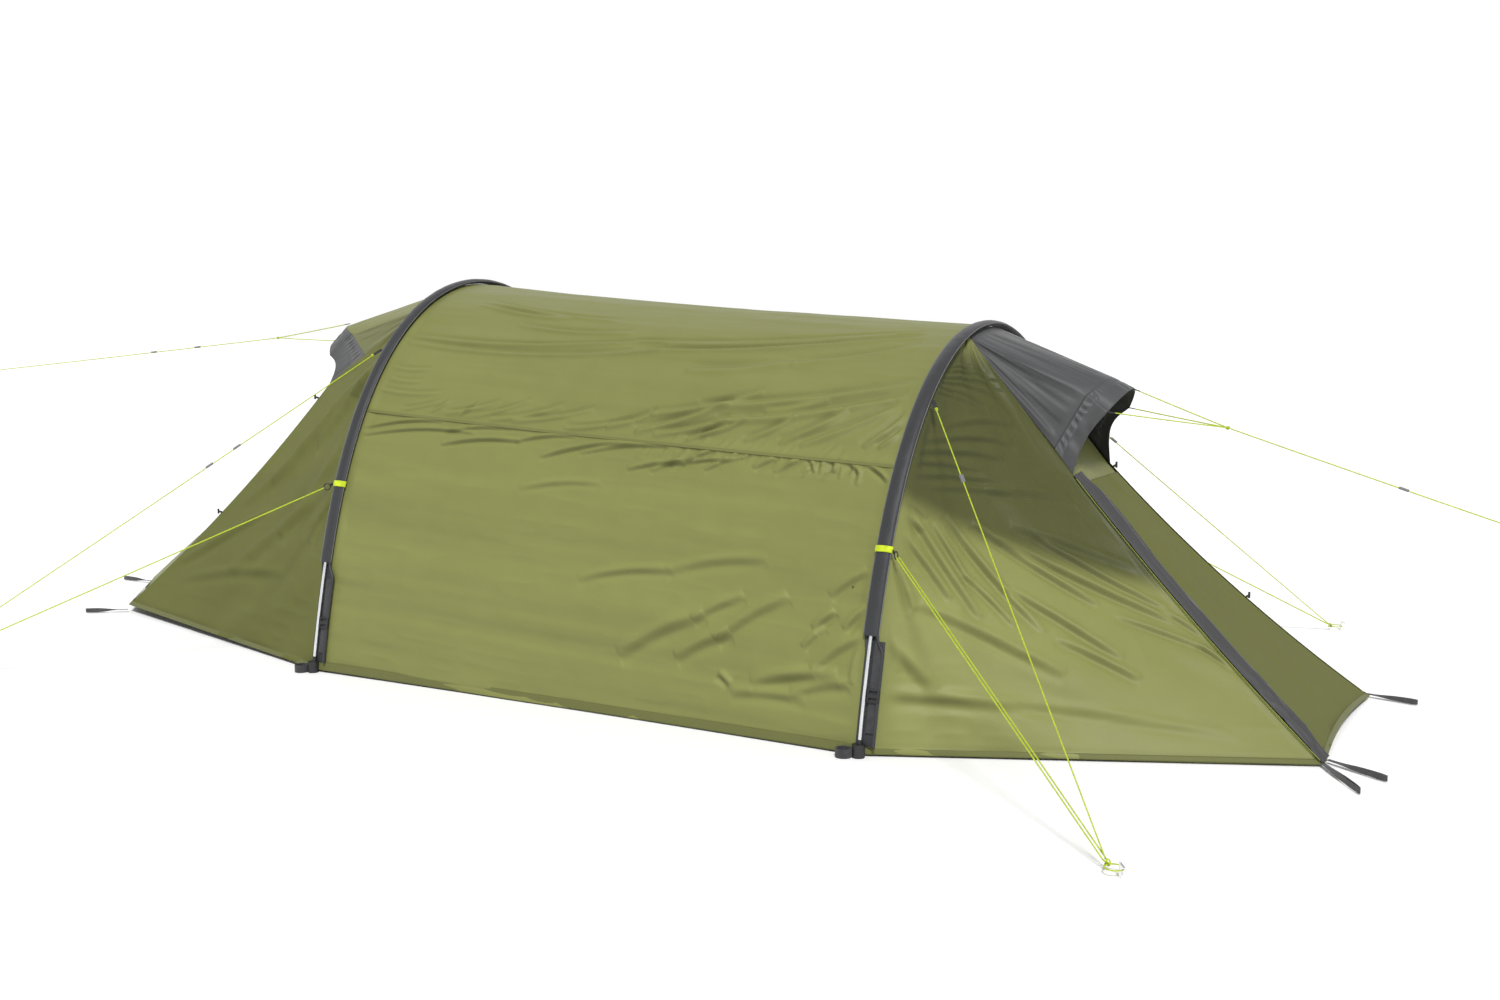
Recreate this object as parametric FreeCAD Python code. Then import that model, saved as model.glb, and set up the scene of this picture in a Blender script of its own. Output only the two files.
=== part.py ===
import FreeCAD, Part
import os
from math import asin, atan2, cos, degrees, hypot, sin, tan

# Two-hoop tunnel tent, pitched. Millimetres, +X towards the door end, +Z up.
# The origin is on the ground at the middle of the pitched tent. "Near" pieces are on the
# -Y side and "far" pieces on the +Y side. One STEP file is written for each piece.

Vector = FreeCAD.Vector
X_AXIS = Vector(1, 0, 0)
Z_AXIS = Vector(0, 0, 1)

# Hoops: the plane, width at the ground and height of each pole line
REAR_X, REAR_WIDTH, REAR_HEIGHT = -526.0, 1539.0, 1099.0
FRONT_X, FRONT_WIDTH, FRONT_HEIGHT = 1172.0, 1581.0, 975.0
BEND = (2.2144, -1.1400, 0.2941)  # slope angle of a hoop = b1 u + b3 u^3 + b5 u^5, u = 0 at top
ARCS_PER_SIDE = 8
INTEGRATION_STEPS = 50  # in each arc
FIT_ROUNDS = 4

# Poles
POLE_R = 4.75
POLE_BORE_R = 3.95
POLE_END_U = 0.985
FERRULE_R = 3.85
FERRULE_BORE_R = 2.6
FERRULE_HALF_U = 0.025
SHOCK_CORD_R = 1.5
TIP_R = 6.0
TIP_TOP_U = 0.972
TIP_END_U = 0.9945
SECTION_JOINTS = (0.25, 0.5, 0.75)  # along each half of a pole

# Sleeves and what is on the legs
SLEEVE_HALF_WIDTH = 20.0
SLEEVE_HALF_THICKNESS = 8.0
SLEEVE_BORE_R = 5.6
SLEEVE_END_U = 0.80
CUP_R, CUP_HEIGHT, CUP_CLEARANCE = 15.0, 30.0, 0.2
LOOP_R, LOOP_WALL, LOOP_HEIGHT = 17.0, 2.5, 20.0
LOOP_OFFSET = Vector(-32.0, 12.0, 0)  # from a far foot to the middle of its peg loop
STRAP_WIDTH, STRAP_THICKNESS = 25.0, 2.0
STRAP_X = 24.0
STRAP_LEVELS = (0.235, 0.18, 0.13, 0.05)  # heights as a share of the rear hoop's height
STRAP_INSET = 2.0
BUCKLE_LEVEL = 0.125
BUCKLE_LIFT, BUCKLE_HALF, BUCKLE_WIDTH, BUCKLE_THICKNESS = 2.6, 15.0, 30.0, 4.0
BUCKLE_SLOT_STEP, BUCKLE_SLOT_HALF, BUCKLE_SLOT_WIDTH = 8.0, 4.0, 23.0

# Fly fabric
FABRIC = 1.6
FLY_OFFSET = -(SLEEVE_HALF_THICKNESS + 1.0)
HEM_U = 0.978
SEAM_U = 0.5
SEAM_HALF_GAP_U = 0.001
SEAM_GAP = 2.0
PANEL_GAP = 1.0
HEM_TAPE = 1.2
HEM_TAPE_U = 0.010
HEM_TAPE_LIFT = 0.9
SIDE_HOLLOW = 0.28  # of the hood band's width
VENT_INSET = 8.0
VENT_SPLIT = 0.5  # where the front mesh ends and the vent panel starts, down the hood's side
VENT_FOOT_T = 0.02

# Front end: hood, door edge and ground corner, given for the far side
FRONT_HOOD_U = 0.125
FRONT_SEAM = (Vector(1410, 160, 665), Vector(1470, 98, 797), Vector(1508, 0, 838))
FRONT_RIM = (Vector(1458, 163, 605), Vector(1523, 100, 757), Vector(1559, 0, 812))
FRONT_CORNER = Vector(2110, 358, 5)
FRONT_SAG = Vector(-13.3, -20.8, -13.3)

# Rear end, given for the far side
REAR_HOOD_U = 0.218
REAR_SEAM = (Vector(-821, 208, 881), Vector(-985, 85, 929), Vector(-1072, 0, 958))
REAR_RIM = (Vector(-1020, 158, 774), Vector(-1080, 92, 862), Vector(-1128, 0, 906))
REAR_CORNER = Vector(-1711, 419, 24)
REAR_SAG = Vector(17.0, -4.0, -16.0)
REAR_END_TOP = Vector(-1085, 0, 735)
REAR_TIP = Vector(-2079, 0, 24)
REAR_END_START_T = 0.01

# Door, its zip and the flap over the zip, measured across from the near door edge
DOOR_TOP_T = 0.035
DOOR_NEAR_INSET = 27.0
DOOR_FAR_INSET = 12.0
DOOR_HEM_RISE = 0.020
ZIP_LINE = 13.5
FIXED_TAPE, DOOR_TAPE = (3.0, 11.3), (15.7, 24.0)
ZIP_TAPE = 1.0
COIL_HALF, COIL_THICKNESS = 2.0, 2.6
FLAP_PROFILE = ((2.0, 4.0), (8.0, 12.0), (22.0, 19.0), (38.0, 20.0), (50.0, 14.0), (56.0, 5.0))
SLIDER_START_T = 0.965
SLIDER = (20.0, 11.0, 3.2)
SLIDER_LIFT = 1.7
PULL_LENGTH, PULL_LAP, PULL_WIDTH, PULL_THICKNESS = 21.0, 3.0, 6.0, 1.6
ZIP_END_T, FLAP_END_T = 0.985, 0.995

# Inner tent
TRAY_HALF = ((1130.0, 700.0), (-526.0, 680.0), (-1080.0, 411.0))  # (X, half width)
TRAY_HEIGHT, TRAY_WALL = 100.0, 2.0
INNER_OFFSET = -70.0
INNER_GAP = 2.0  # between the canopy's lower edge and the top of the tray
INNER_FOOT_X, INNER_FOOT_WIDTH, INNER_FOOT_HEIGHT = -1076.0, 850.0, 560.0
INNER_WALL_X, INNER_WALL_LEAN = 1126.0, 6.0
INNER_DOOR_R, INNER_ZIP_R, INNER_ZIP_HALF = 322.0, 328.0, 4.0
INNER_DOOR_Z = 112.0
INNER_WALL_OFFSET = -84.0
INNER_CUT_GAP = 0.5
INNER_SILL_DROP = 3.0  # the wall's sill lies this far below the door's hinge line
INNER_START_DEG = 8.0
INNER_SLIDER = (3.0, 8.0, 16.0)
INNER_SLIDER_GAP = 0.5
INNER_PULL = (1.5, 5.0, 18.0)
INNER_PULL_GAP, INNER_PULL_DROP = 1.2, 10.0
HANGER_PLACES = (0.0, 0.25, 0.5, 0.72)
HANGER_R, HANGER_TOP_GAP, HANGER_FOOT_LIFT = 1.6, 4.0, 2.5
HANGER_TOGGLE_HALF, HANGER_TOGGLE_R, HANGER_TOGGLE_SHARE = 9.0, 3.2, 0.75

# Guy lines, straps and pegs
CORD_R = 1.25
SIDE_GUY_U = 0.355
CLIP_U = 0.653
CLIP_HALF_U = 0.0055
BAND_GAP, BAND_OUTER, BAND_LIP_OFFSET = 0.3, 2.3, -6.0
BAND_CUT_GAP, BAND_CUT_HALF_U = 0.2, 0.04
FRONT_PEG = Vector(1905, 1250, 0)
REAR_PEG = Vector(-1473, 1421, 0)
PEG_R, PEG_HEIGHT = 2.5, 28.0
PEG_HOOK_REACH, PEG_HOOK_DROP = 12.0, 8.0
TAB_LENGTH, TAB_WIDTH = 40.0, 10.0
TAB_GAP, TAB_END_GAP = 8.0, 0.4
HOOD_TAB_START, HOOD_TAB_END, HOOD_TAB_WIDTH = 2.0, 20.0, 9.0
CLIP_TAB_START, CLIP_TAB_WIDTH = 20.0, 8.0
RING_R, RING_WIRE_R = 9.0, 1.6
RETURN_R = 4.0
KNOT_R = 8.0
SMALL_KNOT_R = 4.0
KNOT_INSET, KNOT_LEVEL, AIM_LEVEL = 36.0, 15.0, 14.0  # from the peg, and above the ground
RING_SETBACK = 14.0
EYE_R, EYE_WIRE_R, EYE_LEVEL, EYE_SETBACK = 24.0, 1.6, 12.0, 2.0
TENSIONER = (24.0, 10.0, 6.0)
TENSIONER_BORE_R, TENSIONER_FILLET = 1.8, 1.8
FRONT_HOOD_KNOT = Vector(1798, 0, 721)
FRONT_HOOD_END = Vector(2480, 0, 505)
REAR_HOOD_KNOT = Vector(-1408, 0, 914)
REAR_HOOD_END = Vector(-2975, 0, 771)
END_LOOP_R, END_LOOP_WIRE_R = 12.0, 1.4
WEBBING = 1.8
TOGGLE_GAP, TOGGLE_LENGTH, TOGGLE_HALF, TOGGLE_R = 4.0, 9.0, 8.0, 3.0
CORNER_LOOPS = (  # root, end, of each webbing loop at a ground corner
    (Vector(2112, -366, 0), Vector(2210, -532, 0)),
    (Vector(2116, 362, 0), Vector(2229, 332, 0)),
    (Vector(-1713, -423, 0), Vector(-1820, -505, 0)),
    (Vector(-1713, 423, 0), Vector(-1820, 505, 0)),
    (Vector(-2082, 0, 0), Vector(-2250, 0, 0)),
)
DOOR_LOOP = (Vector(2113, -324, 0), Vector(2248.4, -411.6, 0))
CORNER_LOOP_HEIGHT, CORNER_LOOP_GAP = 16.0, 9.0


class Hoop:
    """A pole line in the plane X = x: tangent arcs from its top (u = 0) to its feet (u = +-1)."""

    def __init__(self, x, width, height):
        self.x = x
        across, down = integrate_bend(0, 1, 1, 1)[:2]
        self.scale = (width / 2 / across, height / down)
        for _ in range(FIT_ROUNDS):
            y, z = self.lay_arcs(height)
            self.scale = (self.scale[0] * width / 2 / y, self.scale[1] * height / (height - z))
        self.lay_arcs(height)

    def lay_arcs(self, height):
        """Lay the arcs from the top down; the last one ends at the place that is returned."""
        self.arcs = []
        y, z = 0.0, height
        for i in range(ARCS_PER_SIDE):
            u0, u1 = i / ARCS_PER_SIDE, (i + 1) / ARCS_PER_SIDE
            length = integrate_bend(u0, u1, *self.scale)[2]
            start, end = self.slope(u0), self.slope(u1)
            radius = length / (end - start)
            centre = (y - radius * sin(start), z - radius * cos(start))
            self.arcs.append((centre, radius, start, end))
            y, z = centre[0] + radius * sin(end), centre[1] + radius * cos(end)
        return y, z

    def slope(self, u):
        psi = bend_angle(u)
        return atan2(self.scale[1] * sin(psi), self.scale[0] * cos(psi))

    def locate(self, u):
        """The arc that holds |u|, and the angle on it."""
        place = min(abs(u), 1.0) * ARCS_PER_SIDE
        index = min(int(place), ARCS_PER_SIDE - 1)
        centre, radius, start, end = self.arcs[index]
        return centre, radius, start + (end - start) * (place - index)

    def outward(self, u):
        angle = self.locate(u)[2]
        return Vector(0, sin(angle) if u >= 0 else -sin(angle), cos(angle))

    def along(self, u):
        """Direction of travel towards the far foot."""
        angle = self.locate(u)[2]
        return Vector(0, cos(angle), -sin(angle) if u >= 0 else sin(angle))

    def point(self, u, offset=0.0, x=0.0):
        centre, radius, angle = self.locate(u)
        side = 1 if u >= 0 else -1
        reach = radius + offset
        return Vector(self.x + x, side * (centre[0] + reach * sin(angle)), centre[1] + reach * cos(angle))

    def sweep(self, u0, u1, section):
        """The solid that a section, a face across the far leg, leaves from u0 to u1."""
        cuts = [u0]
        cuts += [i / ARCS_PER_SIDE for i in range(1, ARCS_PER_SIDE) if u0 < i / ARCS_PER_SIDE < u1]
        cuts.append(u1)
        solids = []
        for start, end in zip(cuts, cuts[1:]):
            middle = (start + end) / 2
            centre = self.locate(middle)[0]
            arc = self.arcs[min(int(middle * ARCS_PER_SIDE), ARCS_PER_SIDE - 1)]
            turn = (arc[3] - arc[2]) * (end - start) * ARCS_PER_SIDE
            face = section(self.point(start), self.outward(start), self.along(start))
            axis = Vector(self.x, centre[0], centre[1])
            solids.append(face.revolve(axis, Vector(-1, 0, 0), degrees(turn)))
        return join(solids)

    def sweep_whole(self, u_end, section):
        """The same section from one leg over the top to the other."""
        half = self.sweep(0.0, u_end, section)
        return join([half, mirrored(half)])


def bend_angle(u):
    return BEND[0] * u + BEND[1] * u**3 + BEND[2] * u**5


def integrate_bend(u0, u1, scale_y, scale_z):
    """Width, drop and length of the hoop curve between two places on it."""
    step = (u1 - u0) / INTEGRATION_STEPS
    width = drop = length = 0.0
    for i in range(INTEGRATION_STEPS):
        psi = bend_angle(u0 + (i + 0.5) * step)
        dy, dz = scale_y * cos(psi) * step, scale_z * sin(psi) * step
        width, drop, length = width + dy, drop + dz, length + hypot(dy, dz)
    return width, drop, length


def join(solids):
    if len(solids) == 1:
        return solids[0]
    return solids[0].multiFuse(solids[1:]).removeSplitter()


def mirrored(shape):
    return shape.mirror(Vector(0, 0, 0), Vector(0, 1, 0))


def both_sides(shape):
    return [shape, mirrored(shape)]


def flip(point):
    return Vector(point.x, -point.y, point.z)


def unit(vector):
    copy = Vector(vector)
    copy.normalize()
    return copy


def mix(a, b, share):
    return a + (b - a) * share


def towards(a, b, distance):
    return a + unit(b - a) * distance


# Sections and simple solids

def disc(radius):
    def section(centre, outward, along):
        return Part.Face(Part.Wire(Part.Circle(centre, along, radius).toShape()))
    return section


def ring(outer, inner):
    def section(centre, outward, along):
        return disc(outer)(centre, outward, along).cut(disc(inner)(centre, outward, along)).Faces[0]
    return section


def oval(half_width, half_thickness):
    def section(centre, outward, along):
        curve = Part.Ellipse(centre + X_AXIS * half_width, centre + outward * half_thickness, centre)
        return Part.Face(Part.Wire(curve.toShape()))
    return section


def hollow_oval(half_width, half_thickness, cut_section):
    def section(centre, outward, along):
        whole = oval(half_width, half_thickness)(centre, outward, along)
        return whole.cut(cut_section(centre, outward, along)).Faces[0]
    return section


def slab(half_width, low, high):
    def section(centre, outward, along):
        across = X_AXIS * half_width
        bottom, top = centre + outward * low, centre + outward * high
        corners = [bottom - across, bottom + across, top + across, top - across]
        return Part.Face(Part.makePolygon(corners + corners[:1]))
    return section


def rod(start, end, radius):
    return Part.makeCylinder(radius, (end - start).Length, start, end - start)


def bar(start, end, width, thickness, flat_normal):
    """A flat bar from start to end; its thin way is as near flat_normal as can be."""
    length_way = unit(end - start)
    width_way = unit(flat_normal.cross(length_way))
    thin_way = length_way.cross(width_way)
    corner = start - width_way * (width / 2) - thin_way * (thickness / 2)
    corners = [corner, corner + width_way * width]
    corners += [corners[1] + thin_way * thickness, corner + thin_way * thickness]
    return Part.Face(Part.makePolygon(corners + corners[:1])).extrude(end - start)


def tube_along(points, radius, turn_radii=None):
    """A round cord: straight runs between the points, joined by tangent arcs."""
    edges = []
    last = points[0]
    for i in range(1, len(points) - 1):
        before, after = unit(points[i] - points[i - 1]), unit(points[i + 1] - points[i])
        turn = before.getAngle(after)
        reach = turn_radii[i - 1] * tan(turn / 2)
        start, end = points[i] - before * reach, points[i] + after * reach
        inward = unit(after - before)
        middle = points[i] + inward * (turn_radii[i - 1] / cos(turn / 2) - turn_radii[i - 1])
        edges += [Part.LineSegment(last, start).toShape(), Part.Arc(start, middle, end).toShape()]
        last = end
    edges.append(Part.LineSegment(last, points[-1]).toShape())
    profile = Part.Wire(Part.Circle(points[0], points[1] - points[0], radius).toShape())
    return Part.Wire(edges).makePipeShell([profile], True, False)


def sheet(grid, thickness=FABRIC):
    """A closed sheet of even thickness about a grid of points, made of flat triangles."""
    rows, columns = len(grid), len(grid[0])
    front, back = [], []
    for i in range(rows):
        front.append([])
        back.append([])
        for j in range(columns):
            down = grid[min(i + 1, rows - 1)][j] - grid[max(i - 1, 0)][j]
            across = grid[i][min(j + 1, columns - 1)] - grid[i][max(j - 1, 0)]
            half = unit(down.cross(across)) * (thickness / 2)
            front[i].append(grid[i][j] + half)
            back[i].append(grid[i][j] - half)
    triangles = []

    def quad(a, b, c, d):
        triangles.extend([(a, b, c), (a, c, d)])

    for i in range(rows - 1):
        for j in range(columns - 1):
            quad(front[i][j], front[i + 1][j], front[i + 1][j + 1], front[i][j + 1])
            quad(back[i][j], back[i][j + 1], back[i + 1][j + 1], back[i + 1][j])
        for j in (0, columns - 1):
            quad(front[i][j], back[i][j], back[i + 1][j], front[i + 1][j])
    for j in range(columns - 1):
        for i in (0, rows - 1):
            quad(front[i][j], front[i][j + 1], back[i][j + 1], back[i][j])
    faces = [Part.Face(Part.makePolygon([a, b, c, a])) for a, b, c in triangles]
    shell = Part.Compound(faces)
    shell.sewShape()
    solid = Part.Solid(shell.Shells[0])
    if solid.Volume < 0:
        solid.reverse()
    return solid


def ruled(first, second, steps):
    """A grid of straight lines between two rows of points."""
    return [[mix(a, b, j / steps) for j in range(steps + 1)] for a, b in zip(first, second)]


# Edge lines of the two ends

class EdgeLine:
    """The seam from a hoop down the hood to the hood's rim, then in a shallow arc to the ground."""

    def __init__(self, hoop, hood_u, side_step, rim_end, corner, sag):
        self.top = hoop.point(hood_u, FLY_OFFSET, side_step * 6.0)
        self.rim_end = rim_end
        self.corner = corner
        self.chord = unit(corner - rim_end)
        bulge = sag - self.chord * sag.dot(self.chord)
        half, rise = (corner - rim_end).Length / 2, bulge.Length
        self.out = unit(bulge)
        self.radius = (half * half + rise * rise) / (2 * rise)
        self.half_angle = asin(half / self.radius)
        self.centre = (rim_end + corner) * 0.5 - self.out * (self.radius - rise)
        hood_length = (rim_end - self.top).Length
        self.hood_share = hood_length / (hood_length + 2 * half)

    def arc(self, t):
        """A point on the arc, t = 0 at the rim and 1 at the ground corner."""
        angle = self.half_angle * (2 * t - 1)
        return self.centre + (self.out * cos(angle) + self.chord * sin(angle)) * self.radius

    def at(self, share):
        if share < self.hood_share:
            return mix(self.top, self.rim_end, share / self.hood_share)
        return self.arc((share - self.hood_share) / (1 - self.hood_share))


rear_hoop = Hoop(REAR_X, REAR_WIDTH, REAR_HEIGHT)
front_hoop = Hoop(FRONT_X, FRONT_WIDTH, FRONT_HEIGHT)
HOOPS = (rear_hoop, front_hoop)
front_edge = EdgeLine(front_hoop, FRONT_HOOD_U, 1, FRONT_RIM[0], FRONT_CORNER, FRONT_SAG)
rear_edge = EdgeLine(rear_hoop, REAR_HOOD_U, -1, REAR_RIM[0], REAR_CORNER, REAR_SAG)
DOOR_OUT = unit(Vector(FRONT_RIM[0].z - FRONT_CORNER.z, 0, FRONT_CORNER.x - FRONT_RIM[0].x))


# Poles, sleeves and feet

def pole_sections(hoop):
    nodes = [0.0, *SECTION_JOINTS, POLE_END_U]
    solids = []
    for start, end in zip(nodes, nodes[1:]):
        solids += both_sides(hoop.sweep(start, end, ring(POLE_R, POLE_BORE_R)))
    return solids


def pole_ferrules():
    section = ring(FERRULE_R, FERRULE_BORE_R)
    solids = []
    for hoop in HOOPS:
        solids.append(hoop.sweep_whole(FERRULE_HALF_U, section))
        for node in SECTION_JOINTS:
            solids += both_sides(hoop.sweep(node - FERRULE_HALF_U, node + FERRULE_HALF_U, section))
    return solids


def shock_cords():
    return [hoop.sweep_whole(TIP_TOP_U, disc(SHOCK_CORD_R)) for hoop in HOOPS]


def pole_tips():
    solids = []
    for hoop in HOOPS:
        whole = hoop.sweep(TIP_TOP_U, TIP_END_U, disc(TIP_R))
        pole = hoop.sweep(TIP_TOP_U - 0.002, POLE_END_U, disc(POLE_R))
        solids += both_sides(whole.cut(pole))
    return solids


def sleeve(hoop):
    section = hollow_oval(SLEEVE_HALF_WIDTH, SLEEVE_HALF_THICKNESS, disc(SLEEVE_BORE_R))
    return hoop.sweep_whole(SLEEVE_END_U, section)


def foot_cup(hoop):
    foot = hoop.point(1.0)
    cup = Part.makeCylinder(CUP_R, CUP_HEIGHT, Vector(foot.x, foot.y, 0))
    socket = hoop.sweep(0.95, TIP_END_U + 0.0002, disc(TIP_R + CUP_CLEARANCE))
    return cup.cut(socket)


def loop_centre(hoop):
    foot = hoop.point(1.0)
    return Vector(foot.x, foot.y, 0) + LOOP_OFFSET


def foot_loop(hoop):
    centre = loop_centre(hoop)
    outer = Part.makeCylinder(LOOP_R + LOOP_WALL, LOOP_HEIGHT, centre)
    inner = Part.makeCylinder(LOOP_R, LOOP_HEIGHT, centre)
    foot = hoop.point(1.0)
    return outer.cut(inner).cut(Part.makeCylinder(CUP_R, CUP_HEIGHT, Vector(foot.x, foot.y, 0)))


def level_u(hoop, height, offset=0.0):
    """The place on the hoop, or on a line beside it, at a given height, by halving."""
    low, high = 0.0, 1.0
    for _ in range(30):
        middle = (low + high) / 2
        if hoop.point(middle, offset).z > height:
            low = middle
        else:
            high = middle
    return low


def foot_strap(hoop):
    levels = [share * REAR_HEIGHT for share in STRAP_LEVELS]
    rows = []
    for step in (-STRAP_WIDTH / 2, STRAP_WIDTH / 2):
        rows.append([hoop.point(level_u(hoop, level), -STRAP_INSET, STRAP_X + step) for level in levels])
    return sheet(ruled(rows[0], rows[1], 1), STRAP_THICKNESS)


def ladder_lock(hoop):
    """A three-bar buckle that the foot strap runs through, on its outer face."""
    u = level_u(hoop, BUCKLE_LEVEL * REAR_HEIGHT)
    centre = hoop.point(u, BUCKLE_LIFT, STRAP_X)
    up, out = hoop.along(u) * -1, hoop.outward(u)
    half = up * BUCKLE_HALF
    body = bar(centre - half, centre + half, BUCKLE_WIDTH, BUCKLE_THICKNESS, out)
    for step in (-BUCKLE_SLOT_STEP, BUCKLE_SLOT_STEP):
        slot_centre, slot_half = centre + up * step, up * BUCKLE_SLOT_HALF
        slot_ends = slot_centre - slot_half, slot_centre + slot_half
        body = body.cut(bar(*slot_ends, BUCKLE_SLOT_WIDTH, 3 * BUCKLE_THICKNESS, out))
    return body


# Fly panels

def hoop_row(hoop, u0, u1, steps, offset=FLY_OFFSET, x=0.0):
    return [hoop.point(u0 + (u1 - u0) * i / steps, offset, x) for i in range(steps + 1)]


def roof_panel():
    rows = [hoop_row(hoop, -SEAM_U + SEAM_HALF_GAP_U, SEAM_U - SEAM_HALF_GAP_U, 16) for hoop in HOOPS]
    return sheet(ruled(rows[0], rows[1], 4))


def far_side_panel():
    rows = [hoop_row(hoop, SEAM_U + SEAM_HALF_GAP_U, HEM_U, 8) for hoop in HOOPS]
    return sheet(ruled(rows[0], rows[1], 4))


def far_hem_tape():
    offset = FLY_OFFSET + FABRIC / 2 + HEM_TAPE / 2 + HEM_TAPE_LIFT
    inset = SLEEVE_HALF_WIDTH + STRAP_WIDTH
    first = hoop_row(rear_hoop, HEM_U - HEM_TAPE_U, HEM_U, 1, offset, inset)
    second = hoop_row(front_hoop, HEM_U - HEM_TAPE_U, HEM_U, 1, offset, -inset)
    return sheet(ruled(first, second, 2), HEM_TAPE)


def end_side_panel(hoop, edge, hood_u, x_step):
    """From the far half of a hoop to the edge line of the same end."""
    steps = 16
    hoop_points = hoop_row(hoop, hood_u, HEM_U, steps, FLY_OFFSET, x_step)
    edge_points = []
    for i, start in enumerate(hoop_points):
        seam = edge.at(i / steps)
        edge_points.append(towards(seam, start, SEAM_GAP))
    return sheet(ruled(hoop_points, edge_points, 8))


def hood_top(hoop, edge, hood_u, x_step, seam):
    """The hood between the hoop's crown and the seam of its rim band."""
    low, corner, crown = seam
    steps = 8
    hoop_points = [mix(edge.top, hoop.point(hood_u, FLY_OFFSET, x_step), 0.3)]
    seam_points = [low]
    for i in range(steps + 1):
        share = 2.0 * i / steps - 1
        hoop_points.append(hoop.point(-share * (hood_u - 0.01), FLY_OFFSET, x_step))
        arch = crown + (Vector(corner.x, 0, corner.z) - crown) * share**2
        seam_points.append(arch - Vector(0, corner.y * share, 0))
    hoop_points.append(flip(hoop_points[0]))
    seam_points.append(flip(low))
    return sheet(ruled(hoop_points, seam_points, 5))


def rim_line(points, steps=4):
    """A hood edge from its far end over the crown to its near end."""
    low, corner, crown = points
    line = [low, mix(low, corner, 0.5)]
    for i in range(2 * steps + 1):
        share = i / steps - 1
        arch = crown + (Vector(corner.x, 0, corner.z) - crown) * share**2
        line.append(arch - Vector(0, corner.y * share, 0))
    line += [flip(line[1]), flip(low)]
    return line


def hood_band(seam, rim):
    """The band of the hood past its seam; its free edge is hollow at both sides."""
    first, second = rim_line(seam), rim_line(rim)
    for side in (1, -2):
        second[side] = mix(second[side], first[side], SIDE_HOLLOW)
    start = [towards(a, b, SEAM_GAP) for a, b in zip(first, second)]
    return sheet(ruled(start, second, 2))


def under_hood(edge, first, last, middle=Vector(0, 0, 0)):
    """A sheet under a hood from one edge line to the other; its middle may stand out further."""
    grid = []
    for i in range(7):
        share = mix_number(first, last, i / 6)
        far = edge.at(share) - Vector(0, VENT_INSET, 0)
        shift = middle * min(share / edge.hood_share, 1.0)
        row = []
        for j in range(9):
            across = j / 4 - 1
            row.append(Vector(far.x, -far.y * across, far.z) + shift * (1 - abs(across)))
        grid.append(row)
    return sheet(grid)


def front_vent_panel():
    """Fly cloth that carries the front face on upwards, from above the door to the mesh."""
    share = front_edge.hood_share
    return under_hood(front_edge, share * VENT_SPLIT, share + (1 - share) * VENT_FOOT_T)


def vent_meshes():
    front = front_edge.hood_share
    rear = rear_edge.hood_share
    rim = Vector(REAR_RIM[0].x, 0, REAR_RIM[0].z)
    return [
        under_hood(front_edge, 0.10 * front, (VENT_SPLIT - 0.02) * front),
        under_hood(rear_edge, 0.15 * rear, 0.97 * rear, REAR_END_TOP - rim),
    ]


def rear_end_panel():
    """The pointed foot end: from the rear edge lines to a middle line that runs out to a tip."""
    grid = []
    for i in range(11):
        t = REAR_END_START_T + (1 - REAR_END_START_T) * i / 10
        middle = mix(REAR_END_TOP, REAR_TIP, t)
        edge = rear_edge.arc(t)
        near_end = towards(edge, middle, SEAM_GAP)
        half = [mix(middle, near_end, j / 4) for j in range(5)]
        grid.append([flip(p) for p in half[:0:-1]] + half)
    return sheet(grid)


# Door end

def door_point(t, y):
    """A point on the door's surface: level lines run straight across it."""
    edge = front_edge.arc(t)
    return Vector(edge.x, y, edge.z)


def door_near_y(t, across):
    return -front_edge.arc(t).y + across


def door_panel():
    """The door from its zip to the far edge line, with a hem that rises towards its middle."""
    grid = []
    for i in range(13):
        row = []
        for j in range(9):
            across = j / 8
            rise = DOOR_HEM_RISE * (1 - (2 * across - 1) ** 2)
            t = DOOR_TOP_T + (1 - rise - DOOR_TOP_T) * i / 12
            far_y = front_edge.arc(t).y - DOOR_FAR_INSET
            row.append(door_point(t, mix_number(door_near_y(t, DOOR_NEAR_INSET), far_y, across)))
        grid.append(row)
    return sheet(grid)


def mix_number(a, b, share):
    return a + (b - a) * share


def edge_strip(profile, thickness, t0, t1, steps=14):
    """A strip along the near door edge; profile holds (distance across, height off the door)."""
    grid = []
    for i in range(steps + 1):
        t = t0 + (t1 - t0) * i / steps
        grid.append([door_point(t, door_near_y(t, w)) + DOOR_OUT * h for w, h in profile])
    return sheet(grid, thickness)


def storm_flap():
    return edge_strip(FLAP_PROFILE, FABRIC, DOOR_TOP_T, FLAP_END_T)


def zip_strip(edges, thickness=ZIP_TAPE):
    return edge_strip([(across, 0) for across in edges], thickness, DOOR_TOP_T, ZIP_END_T)


def zip_slider():
    """The slider's outer body with its pull, lying on the closed coil near the ground."""
    length, width, thickness = SLIDER
    foot = door_point(SLIDER_START_T, door_near_y(SLIDER_START_T, ZIP_LINE))
    ahead = SLIDER_START_T - 0.02
    up = unit(door_point(ahead, door_near_y(ahead, ZIP_LINE)) - foot)
    start = foot + DOOR_OUT * (SLIDER_LIFT + thickness / 2)
    body = bar(start, start + up * length, width, thickness, DOOR_OUT)
    pull = bar(start - up * PULL_LENGTH, start + up * PULL_LAP, PULL_WIDTH, PULL_THICKNESS, DOOR_OUT)
    return join([body, pull])


# Inner tent

def tray_outline(inset):
    steps = (-inset, 0.0, inset)
    points = [Vector(x + step, half - inset, 0) for (x, half), step in zip(TRAY_HALF, steps)]
    loop = points + [flip(p) for p in reversed(points)]
    return Part.Face(Part.makePolygon(loop + loop[:1]))


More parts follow.
